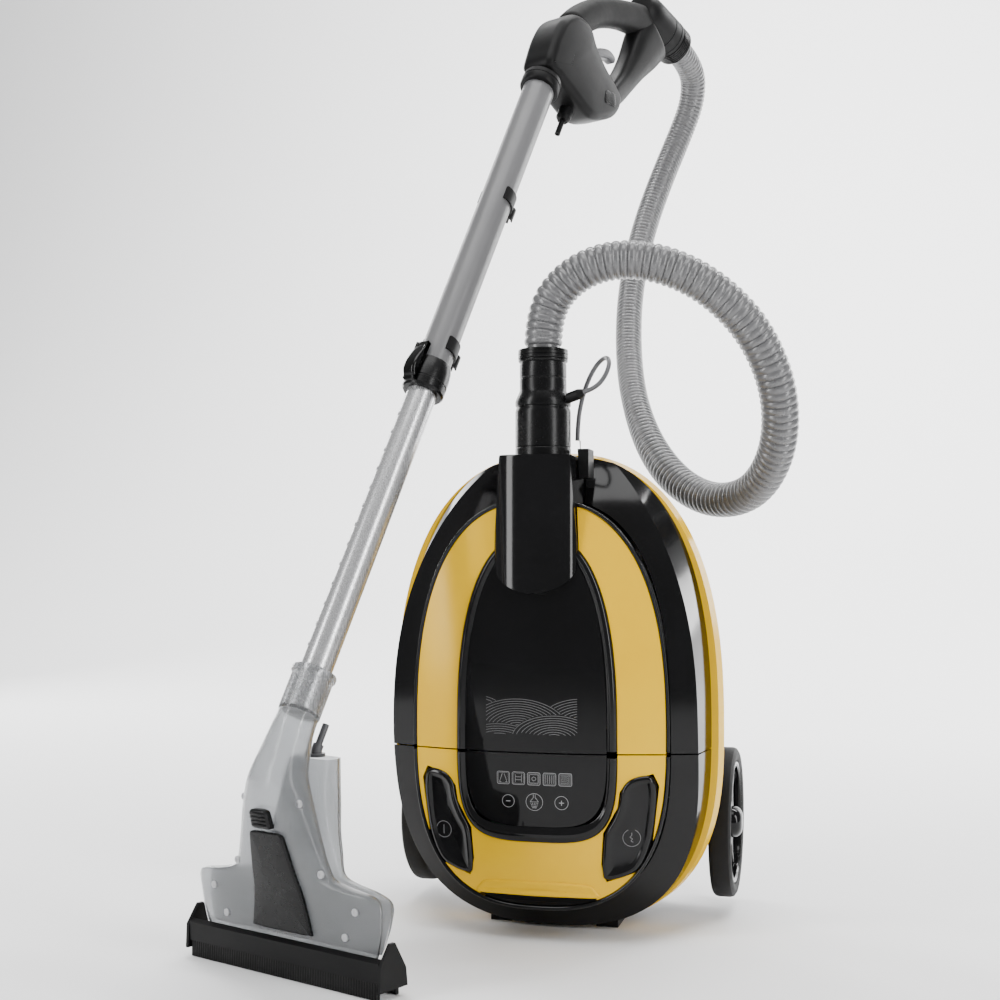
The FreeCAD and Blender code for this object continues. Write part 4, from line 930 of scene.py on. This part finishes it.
def skin_piece(name, outline, thick, gap, edge, material, body):
    """A cover that follows the nozzle's front: the outline is given as (across, up),
    its outer face stands thick in front of the surface, with a rounded edge."""
    outline = smooth_curve(outline, 97, closed=True)[:-1]
    normals = closed_normals(outline)
    centre = outline.mean(axis=0)
    rings = []
    stages = [(0.5, gap), (1.0, gap)]
    for angle in np.linspace(0, math.pi / 2, 6):
        stages.append((-edge * (1 - math.cos(angle)), thick - edge * (1 - math.sin(angle))))
    stages.append(("crown", thick + 0.8))
    for drawn, out in stages:
        if drawn == "crown":
            points = centre + (outline - normals * edge - centre) * 0.5
        elif drawn == 0.5:
            points = centre + (outline - centre) * 0.5
        elif drawn == 1.0:
            points = outline
        else:
            points = outline + normals * drawn
        behind = np.array([front_at(across, height) - out for across, height in points])
        rings.append(in_wand(np.column_stack([points[:, 0], behind, points[:, 1]])))
    return rings_object(name, rings, material, body, 45)


cover = skin_piece(
    "nozzle_cover_piece",
    [(-36, 44), (-35, 41.6), (-18, 41), (0, 41), (18, 41), (35, 41.6), (36, 44), (32, 64),
     (26, 96), (21, 124), (19, 130), (10, 131.5), (0, 131.6), (-10, 131.5), (-19, 130),
     (-21, 124), (-26, 96), (-32, 64)],
    4.4, 0.5, 2.2, satin_gloss, "wand",
)
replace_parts(cover, "nozzle_cover")
latch = skin_piece(
    "latch_piece",
    [(-10.5, 135.5), (-10.8, 143), (-9.5, 151), (0, 152.6), (9.5, 151), (10.8, 143),
     (10.5, 135.5), (0, 134.6)],
    7.6, 0.9, 2.4, satin_gloss, "latch",
)
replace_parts(latch, "cover_latch")
ribs = []
for height in (138, 141.5, 145, 148.5):
    points = [(-7, height - 0.7), (7, height - 0.7), (7, height + 0.7), (-7, height + 0.7)]
    outline = smooth_curve(points, 33, closed=True)[:-1]
    rings = []
    for shrink, out in ((1.0, 7.4), (1.0, 8.9), (0.8, 9.3)):
        drawn = outline.mean(axis=0) + (outline - outline.mean(axis=0)) * shrink
        behind = np.array([front_at(across, level) - out for across, level in drawn])
        rings.append(in_wand(np.column_stack([drawn[:, 0], behind, drawn[:, 1]])))
    ribs.append(rings)
merged("latch_ribs", ribs, satin_black, "latch")

SCREW_HEAD = [(3.4, -1.2), (3.4, 0.7), (2.9, 1.1), (1.2, 1.1), (1.0, 0.5)]
screws = []
for across, height in ((-88, 70), (88, 70), (-52, 98), (52, 98), (-74, 46), (74, 46), (-34, 158), (34, 158)):
    at = in_wand([(across, front_at(across, height) - 0.2, height)])[0]
    screws.append(lathe_rings(SCREW_HEAD, axis_place(at, -BACK, UP), 24))
merged("nozzle_screws", screws, steel, "wand")

# -------------------------------------------------------------- hard-floor adapter


def lip_rings(back, thick, low, high, half, pitch, depth):
    """A rubber lip: a bar across the nozzle whose front and back faces carry upright
    teeth, thickness = thick + depth * rounded wave of the place across."""
    count = int(2 * half / (pitch / 6))
    across = np.linspace(-half, half, count)
    wave = np.abs(np.sin(math.pi * across / pitch)) ** 0.6
    rings = []
    for place, tooth in zip(across, wave):
        grow = depth * tooth
        middle, bevel = (low + high) / 2, low + 0.8
        profile = [
            (back - thick / 2 - 0.4 * grow, high), (back - thick / 2 - grow, middle),
            (back - thick / 2 - grow, bevel), (back - thick / 4, low),
            (back + thick / 4, low), (back + thick / 2 + grow * 0.5, bevel),
            (back + thick / 2 + grow * 0.5, middle), (back + thick / 2, high),
        ]
        rings.append(in_wand([(place, behind, up) for behind, up in profile]))
    return rings


front_lip = lip_rings(-11.5, 2.6, 0.0, 15.2, 115.5, 3.0, 0.9)
rear_lip = lip_rings(12.5, 2.6, 0.0, 8.2, 115.5, 3.0, 0.9)
lips = merged("lips", [front_lip, rear_lip], rubber, "wand", 60)
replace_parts(lips, "adapter_lips")

# -------------------------------------------------------------------- wheels


TYRE_BORE, TREAD_BLOCKS, SPOKES = 64.2, 40, 7
TYRE_SECTION = (
    # radius, along the axle, share of the tread's depth
    (TYRE_BORE, 1.2, 0), (70, 1.0, 0), (75, 1.4, 0), (77.2, 3.2, 0.6), (78, 6.4, 1), (78, 18, 1),
    (77, 21.4, 0.6), (73.6, 23.6, 0), (69, 23.8, 0), (TYRE_BORE, 22.6, 0),
)
SPOKE_STAGES = (
    # distance from the axle, half width, near face, far face
    (12, 8.5, 8, 19), (26, 6.8, 9, 17.5), (42, 6.4, 9, 16.5), (55, 7.2, 9, 17), (60.5, 9.0, 8, 19),
)
RIM_OUTSIDE = ((63.9, 2), (63.9, 21), (62.6, 22.4), (60.4, 22.4))
RIM_INSIDE = ((60.4, 2), (58.8, 3), (58.4, 8), (58.4, 17), (58.8, 21))


def wheel(side, name, body):
    """A wheel turned about the axle: tyre with tread grooves, rim, hub and spokes. The
    tread cuts the tyre's radius by a wave of the angle."""
    low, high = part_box(f"wheel_{name}_tyre")
    centre = np.array([joint[body + "_roll"]["pos_m"][axis] for axis in range(3)])
    inner = low[0] if side > 0 else high[0]
    place = axis_place((inner - side * 0.001, centre[1], centre[2]), (side, 0, 0), UP)
    columns = 160
    angles = np.linspace(0, 2 * math.pi, columns, endpoint=False)
    tread = 0.5 * (1 - np.abs(np.cos(angles * TREAD_BLOCKS)) ** 0.5)

    def circle(radii, along, turn):
        """Points at the radii round the axle, at one place along it."""
        return place(np.stack([radii * np.cos(turn), radii * np.sin(turn), np.full(len(turn), along)], 1))

    outer = [circle(radius - depth * tread, along, angles) for radius, along, depth in TYRE_SECTION]
    bore = [circle(TYRE_BORE, along, angles) for along in (1.2, 22.6)]
    tyre = shell_with_inside(f"tyre_{name}", outer, bore, rubber, body)
    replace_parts(tyre, f"wheel_{name}_tyre")
    groups = []
    hub = [(6.2, 0.6), (14.6, 0.7), (15, 1.2), (15, 9), (17, 17), (15.4, 24), (13, 26.6), (10, 28.4), (4, 29)]
    groups.append(lathe_rings(hub, place, 64))
    for step in range(SPOKES):
        angle = 2 * math.pi * step / SPOKES + 0.2
        radial = math.cos(angle), math.sin(angle)
        along_spoke = []
        for distance, wide, base, top in SPOKE_STAGES:
            cross, lift = super_ring(wide, base, top, 4, 4, 24)
            x = radial[0] * distance - radial[1] * cross
            y = radial[1] * distance + radial[0] * cross
            along_spoke.append(place(np.stack([x, y, lift], 1)))
        groups.append(along_spoke)
    spokes = merged(f"hub_{name}", groups, gloss_black, body)
    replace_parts(spokes, f"wheel_{name}_rim")
    turn = np.linspace(0, 2 * math.pi, 128, endpoint=False)
    outer = [circle(radius, along, turn) for radius, along in RIM_OUTSIDE]
    inside = [circle(radius, along, turn) for radius, along in RIM_INSIDE]
    shell_with_inside(f"rim_{name}", outer, inside, gloss_black, body)


wheel(-1, "left", "wheel_left")
wheel(1, "right", "wheel_right")

# ----------------------------------------------------------- lid and controls

LID_FRONT, LID_ACROSS, LID_ALONG, LID_HEIGHT = -130.0, 400.0, 1500.0, 230.0


def lid_y(x, z, out):
    """The lid's front surface moved out: a torus patch with the lid's two radii."""
    reach = (LID_ALONG - LID_ACROSS) + np.sqrt((LID_ACROSS + out) ** 2 - np.asarray(x, float) ** 2)
    return LID_FRONT + LID_ALONG - np.sqrt(reach**2 - (np.asarray(z, float) - LID_HEIGHT) ** 2)


def lid_points(points, out):
    """(x, z) points laid on the lid and moved out from it, as row-frame metres."""
    points = np.asarray(points, float)
    return np.column_stack([points[:, 0], lid_y(points[:, 0], points[:, 1], out), points[:, 1]]) / 1000


def line_rings(points, width, out, thick=0.12):
    """A thin raised line on the lid: a flat bar of the given width along the points."""
    points = np.asarray(points, float)
    tangents = np.gradient(points, axis=0)
    tangents /= np.linalg.norm(tangents, axis=1)[:, None]
    side = np.stack([-tangents[:, 1], tangents[:, 0]], 1) * width / 2
    rings = []
    for point, edge in zip(points, side):
        quad = np.array([point - edge, point + edge, point + edge, point - edge])
        y = np.array([lid_y(x, z, o) for (x, z), o in zip(quad, (out, out, out + thick, out + thick))])
        rings.append(np.column_stack([quad[:, 0], y, quad[:, 1]]) / 1000)
    return rings


def circle_points(x, z, radius, count=40, start=0.0, stop=2 * math.pi):
    """Points of an arc about (x, z): centre plus radius times cosine and sine."""
    angles = np.linspace(start, stop, count)
    return np.stack([x + radius * np.cos(angles), z + radius * np.sin(angles)], 1)


def segment(a, b, count=6):
    """Even points of a straight line from a to b."""
    return np.linspace(a, b, count)


PANE = 0.82


BELLY, SEAM, SEAM_HALF = 200.0, 184.0, 0.7


def egg_outline(half, top, bottom, power_low, count=240):
    """The lid's outline in front view: a superellipse of power 2.5 above the belly line
    and of another power below it."""
    angle = np.linspace(0, 2 * math.pi, count, endpoint=False)
    across, up = np.cos(angle), np.sin(angle)
    power = np.where(up >= 0, 2.5, power_low)
    height = np.where(up >= 0, top - BELLY, BELLY - bottom)
    x = half * np.sign(across) * np.abs(across) ** (2 / power)
    z = BELLY + height * np.sign(up) * np.abs(up) ** (2 / power)
    return even_points(np.column_stack([np.append(x, x[0]), np.append(z, z[0])]), count + 1)[:-1]


def bead_groups(outline, profile, wider_below=1.0):
    """A bead along a closed outline on the lid, open at the seam: the profile is a
    closed loop of (drawn in, out), stretched inwards where the outline faces down."""
    normals = closed_normals(outline)
    stretch = 1 + (wider_below - 1) * np.clip(-normals[:, 1], 0, 1) ** 2
    groups = []
    for side in (1, -1):
        kept = side * (outline[:, 1] - SEAM) > SEAM_HALF
        start = int(np.where(kept & ~np.roll(kept, 1))[0][0])
        order = (start + np.arange(int(kept.sum()))) % len(outline)
        rings = []
        for index in order:
            drawn, out = np.array(profile).T
            points = outline[index] - normals[index] * (drawn * stretch[index])[:, None]
            y = np.array([lid_y(x, z, o) for (x, z), o in zip(points, out)])
            rings.append(np.column_stack([points[:, 0], y, points[:, 1]]) / 1000)
        groups.append(rings)
    return groups


BEZEL = (
    # drawn in from the outline, out from the lid
    (0.2, -4), (0.0, 0.6), (0.7, 1.6), (2.0, 2.6), (3.6, 3.0), (5.2, 2.7), (6.6, 1.9),
    (7.6, 1.2), (8.6, 0.9), (9.0, 0.4), (9.0, -4),
)
bezel_groups = bead_groups(egg_outline(79, 395, 98, 4.0), BEZEL, 1.6)
bezel = merged("window_bead", bezel_groups, gloss_black, "canister")
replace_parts(bezel, "window_bezel")
SURROUND = ((0.1, -6), (0.1, 0.9), (0.5, 1.7), (1.2, 2.0), (2.0, 1.8), (2.8, 1.1), (3.4, 0.5), (3.6, -6))
surround_groups = bead_groups(egg_outline(128, 429, 31, 2.7), SURROUND)
surround = merged("panel_bead", surround_groups, gloss_black, "canister")
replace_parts(surround, "panel_surround")


GRIP = [
    (-60, 45.2), (-57, 53), (-50, 57.6), (-25, 58.8), (0, 59), (25, 58.8), (50, 57.6),
    (57, 53), (60, 45.2), (30, 44.6), (0, 44.4), (-30, 44.6),
]


def grip_lip():
    """The carry grip's lip: outline drawn in over a rounded edge, with a slight crown."""
    outline = smooth_curve(GRIP, 121, closed=True)[:-1]
    normals = closed_normals(outline)
    centre = outline.mean(axis=0)
    rings = [lid_points(outline - normals, -2.5), lid_points(outline, -2.0)]
    for drawn, out in ((0.0, 0.1), (0.4, 0.9), (1.1, 1.5), (2.2, 1.7), (3.6, 1.5), (5.0, 1.1)):
        rings.append(lid_points(outline - normals * drawn, out))
    rings.append(lid_points(centre + (outline - normals * 5.0 - centre) * 0.5, 0.9))
    return rings


merged("grip_lip", [grip_lip()], yellow, "canister", 35)
# Painted shade: a thin satin-black strip set deep in the carry grip's slot, over the yellow wall behind it, so the
# slot reads as dark as the shade that falls in it. It is no part of the canister.
SLOT_SHADE_SECTION = ((-0.0994, 0.0352), (-0.0986, 0.0352), (-0.0986, 0.0448), (-0.0994, 0.0448))
SLOT_SHADE_HALF = 0.0575
slot_painted_shade = [
    np.array([(x, y, z) for y, z in SLOT_SHADE_SECTION]) for x in np.linspace(-SLOT_SHADE_HALF, SLOT_SHADE_HALF, 24)
]
merged("grip_slot_painted_shade", [slot_painted_shade], satin_black, "canister")


def rounded_box(left, right, low, high, radius):
    """A rectangle with round corners, as points that close on themselves."""
    corners = ((right - radius, high - radius, 0), (left + radius, high - radius, 1),
               (left + radius, low + radius, 2), (right - radius, low + radius, 3))
    quarter = math.pi / 2
    arcs = [circle_points(x, z, radius, 6, turn * quarter, (turn + 1) * quarter) for x, z, turn in corners]
    path = np.concatenate(arcs)
    return np.concatenate([path, path[:1]])


def floor_signs(left, right, low, high):
    """Five plain surface signs: a runner, a chair, a ring, planks and a weave."""
    middle, centre = (left + right) / 2, (low + high) / 2
    legs = (3.1, right - left - 3.1)
    chair = [segment((left + side, low + 2.2), (left + side, high - 2.2)) for side in legs]
    chair += [segment((left + 3.1, centre + lift), (right - 3.1, centre + lift)) for lift in (-1.4, 1.4)]
    planks = [segment((x, low + 1.9), (x, high - 1.9)) for x in np.linspace(left + 2.6, right - 2.6, 5)]
    across = np.linspace(left + 2, right - 2, 13)
    tooth = np.where(np.arange(13) % 2 == 0, 0.45, -0.45)
    weave = [np.stack([across, z + tooth], 1) for z in np.linspace(low + 2.3, high - 2.3, 5)]
    foot = low + 2
    runner = [
        segment((middle - 1, high - 2), (left + 2.4, foot)),
        segment((middle + 1, high - 2), (right - 2.4, foot)),
        segment((left + 2.4, foot), (left + 4.2, foot)),
        segment((right - 4.2, foot), (right - 2.4, foot)),
    ]
    ring = [circle_points(middle, centre, 1.9, 20), rounded_box(left + 2, right - 2, low + 2, high - 2, 0.6)]
    return runner, chair, ring, planks, weave


SIGN_START, SIGN_STEP, SIGN_WIDE, SIGN_LOW, SIGN_HIGH = -37.0, 15.3, 12.4, 153.2, 165.2
DIAL_Z = 136.8
marks = []
for box in range(5):
    left = SIGN_START + box * SIGN_STEP
    right, low, high = left + SIGN_WIDE, SIGN_LOW, SIGN_HIGH
    marks.append(line_rings(rounded_box(left, right, low, high, 1.8), 0.45, PANE))
    marks.append(line_rings(rounded_box(left + 1.1, right - 1.1, low + 1.1, high - 1.1, 1.0), 0.2, PANE))
    marks.extend(line_rings(path, 0.35, PANE) for path in floor_signs(left, right, low, high)[box])
for x, radius in ((-26.0, 6.0), (0.0, 8.2), (26.5, 6.4)):
    marks.append(line_rings(circle_points(x, DIAL_Z, radius, 56), 0.45, PANE))
marks.append(line_rings(segment((-28.2, DIAL_Z), (-23.8, DIAL_Z)), 0.8, PANE))
marks.append(line_rings(segment((24.1, DIAL_Z), (28.9, DIAL_Z)), 0.8, PANE))
marks.append(line_rings(segment((26.5, 134.4), (26.5, 139.2)), 0.8, PANE))
funnel = np.array([(-0.9, 144.3), (-0.9, 141.2), (-4.2, 137.0), (4.2, 137.0), (0.9, 141.2), (0.9, 144.3)])
for start, end in zip(funnel[:-1], funnel[1:]):
    marks.append(line_rings(segment(start, end), 0.4, PANE))
for row in range(4):
    for drop in np.linspace(-3.4 + row * 0.5, 3.4 - row * 0.5, 5):
        start = np.array([drop, 136.0 - row * 1.45])
        marks.append(line_rings(segment(start, start - (0, 0.75), 3), 0.7, PANE))
merged("panel_marks", marks, print_grey, "canister")

HILLS = (
    # centre x, foot z, half width, height, lines; the first hides those behind it
    (20, 197.0, 42, 23.0, 9),
    (-34, 192.0, 40, 19.0, 7),
    (-16, 205.0, 50, 30.5, 12),
    (46, 212.0, 40, 24.5, 9),
    (-58, 214.0, 34, 24.0, 8),
)


def hill_line(hill, share):
    """One contour of a hill: half an ellipse, scaled by its share of the height."""
    x = np.linspace(-48, 42, 91)
    inside = np.clip(1 - ((x - hill[0]) / (hill[2] * share)) ** 2, 0, None)
    return x, np.where(inside > 0, hill[1] + hill[3] * share * np.sqrt(inside), -1.0)


waves = []
for order, hill in enumerate(HILLS):
    for line in range(hill[4]):
        x, z = hill_line(hill, 1 - line / (hill[4] + 1.5))
        keep = (z > 201.5) & (z < 239)
        for front in HILLS[:order]:
            keep &= z > hill_line(front, 1.0)[1] + 0.9
        for run in np.split(np.arange(len(x)), np.where(np.diff(keep.astype(int)) != 0)[0] + 1):
            if len(run) > 3 and keep[run[0]]:
                waves.append(line_rings(np.stack([x[run], z[run]], 1), 0.45, PANE))
merged("wave_print", waves, print_dim, "canister")

PEDAL = [
    (110.5, 163.5), (115.2, 152), (114.2, 130), (109.5, 100), (99, 76), (84, 66.5), (68, 63.5),
    (64.5, 70), (65.2, 90), (67.5, 108), (75, 122), (80.5, 136), (84, 152), (94, 161.5),
]
PEDAL_STAGES = (
    # drawn in from the outline, out from the lid
    (0.0, 0.2), (0.5, 1.2), (1.6, 2.2), (3.0, 2.9), (4.0, 3.0), (5.0, 2.6), (7.2, 0.9), (8.6, 0.3),
)


def pedal(side, name, node, body):
    """A pedal that follows the lid: outline drawn in over a rounded edge, with a
    shallow dish in the middle."""
    outline = smooth_curve([(side * x, z) for x, z in PEDAL], 121, closed=True)[:-1]
    normals = closed_normals(outline)
    centre = outline.mean(axis=0)
    rings = [lid_points(outline - normals * 2, -8.5), lid_points(outline, -8.0)]
    for drawn, out in PEDAL_STAGES:
        rings.append(lid_points(outline - normals * drawn, out))
    rings.append(lid_points(centre + (outline - normals * 8.6 - centre) * 0.4, -0.3))
    piece = rings_object(name, rings, gloss_black, body, 35)
    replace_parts(piece, node)


pedal(-1, "pedal_power", "power_pedal", "power_button")
pedal(1, "pedal_rewind", "rewind_pedal", "rewind_button")
power_mark = [
    line_rings(circle_points(-95, 104, 8.0, 56), 0.6, 0.25, 0.3),
    line_rings(segment((-95, 99.6), (-95, 108.4)), 0.7, 0.25, 0.3),
]
merged("power_mark", power_mark, print_dim, "power_button")
cord_sign = np.array([(92, 109.5), (92, 107), (90.4, 105.2), (92.6, 103.6), (91.4, 101.6), (93.4, 100.4)])
rewind_mark = [
    line_rings(circle_points(92, 104.5, 8.2, 56, math.radians(112), math.radians(428)), 0.6, 0.25, 0.3),
    line_rings(smooth_curve(cord_sign, 24), 0.7, 0.25, 0.3),
]
merged("rewind_mark", rewind_mark, print_dim, "rewind_button")

# ------------------------------------------------------------------ studio


def area_light(name, location, target, size_x, size_y, power):
    """A rectangular lamp that looks at its target."""
    data = bpy.data.lights.new(name, "AREA")
    data.shape = "RECTANGLE"
    data.size, data.size_y = size_x, size_y
    data.energy = power
    light = bpy.data.objects.new(name, data)
    light.location = location
    aim = Vector(target) - Vector(location)
    light.rotation_euler = aim.to_track_quat("-Z", "Y").to_euler()
    bpy.context.scene.collection.objects.link(light)


area_light("left_box", (-1.7, -1.7, 1.2), (0, 0, 0.35), 0.5, 2.2, 42)
area_light("right_box", (2.0, -1.2, 1.1), (0, 0, 0.35), 0.45, 2.2, 38)
area_light("top_box", (0.1, -0.6, 2.4), (0, 0, 0.3), 1.6, 1.0, 26)
area_light("back_left", (-1.9, 1.6, 1.4), (0, 0, 0.4), 0.5, 2.0, 30)
area_light("back_right", (1.6, 2.0, 1.4), (0, 0, 0.4), 0.5, 2.0, 30)
area_light("wall_wash", (0.4, 1.6, 4.4), (0.8, 6.5, 1.0), 5.0, 0.8, 900)

world = bpy.data.worlds.new("studio")
world.use_nodes = True
world.node_tree.nodes["Background"].inputs["Color"].default_value = (0.93, 0.935, 0.94, 1)
world.node_tree.nodes["Background"].inputs["Strength"].default_value = 0.34
bpy.context.scene.world = world


def sweep_rows(front, bend_start, radius, top, half_width):
    """Backdrop: a flat floor, a quarter circle and an upright wall, as rows of points
    across the width."""
    floor_part = [(y, 0.0) for y in np.linspace(front, bend_start, 8)]
    angles = np.linspace(0, math.pi / 2, 25)[1:]
    bend = [(bend_start + radius * math.sin(a), radius - radius * math.cos(a)) for a in angles]
    wall = [(bend_start + radius, z) for z in np.linspace(radius, top, 5)[1:]]
    profile = np.array(floor_part + bend + wall)
    across = np.linspace(-half_width, half_width, 9)
    rows = np.empty((len(profile), len(across), 3))
    rows[:, :, 0] = across
    rows[:, :, 1] = profile[:, :1]
    rows[:, :, 2] = profile[:, 1:]
    return rows


backdrop_rows = sweep_rows(-9.0, 1.6, 4.6, 9.0, 12.0)
backdrop_mesh = bpy.data.meshes.new("backdrop")
row_count, column_count = backdrop_rows.shape[:2]
corner = np.arange((row_count - 1) * column_count).reshape(row_count - 1, column_count)[:, :-1].ravel()
quads = np.stack([corner, corner + 1, corner + column_count + 1, corner + column_count], axis=1)
backdrop_mesh.from_pydata(backdrop_rows.reshape(-1, 3).tolist(), [], quads.tolist())
backdrop_mesh.polygons.foreach_set("use_smooth", [True] * len(backdrop_mesh.polygons))
backdrop = bpy.data.objects.new("backdrop", backdrop_mesh)
bpy.context.scene.collection.objects.link(backdrop)
paper = Shader("backdrop_paper")
paper.link(
    paper.mixed(paper.noise(1.5), (0.93, 0.93, 0.93), (0.91, 0.91, 0.915)),
    paper.principled.inputs["Base Color"],
)
paper.set(Roughness=0.7)
paper.bump(paper.noise(400.0), 0.1, 0.0001)
backdrop_mesh.materials.append(paper.material)
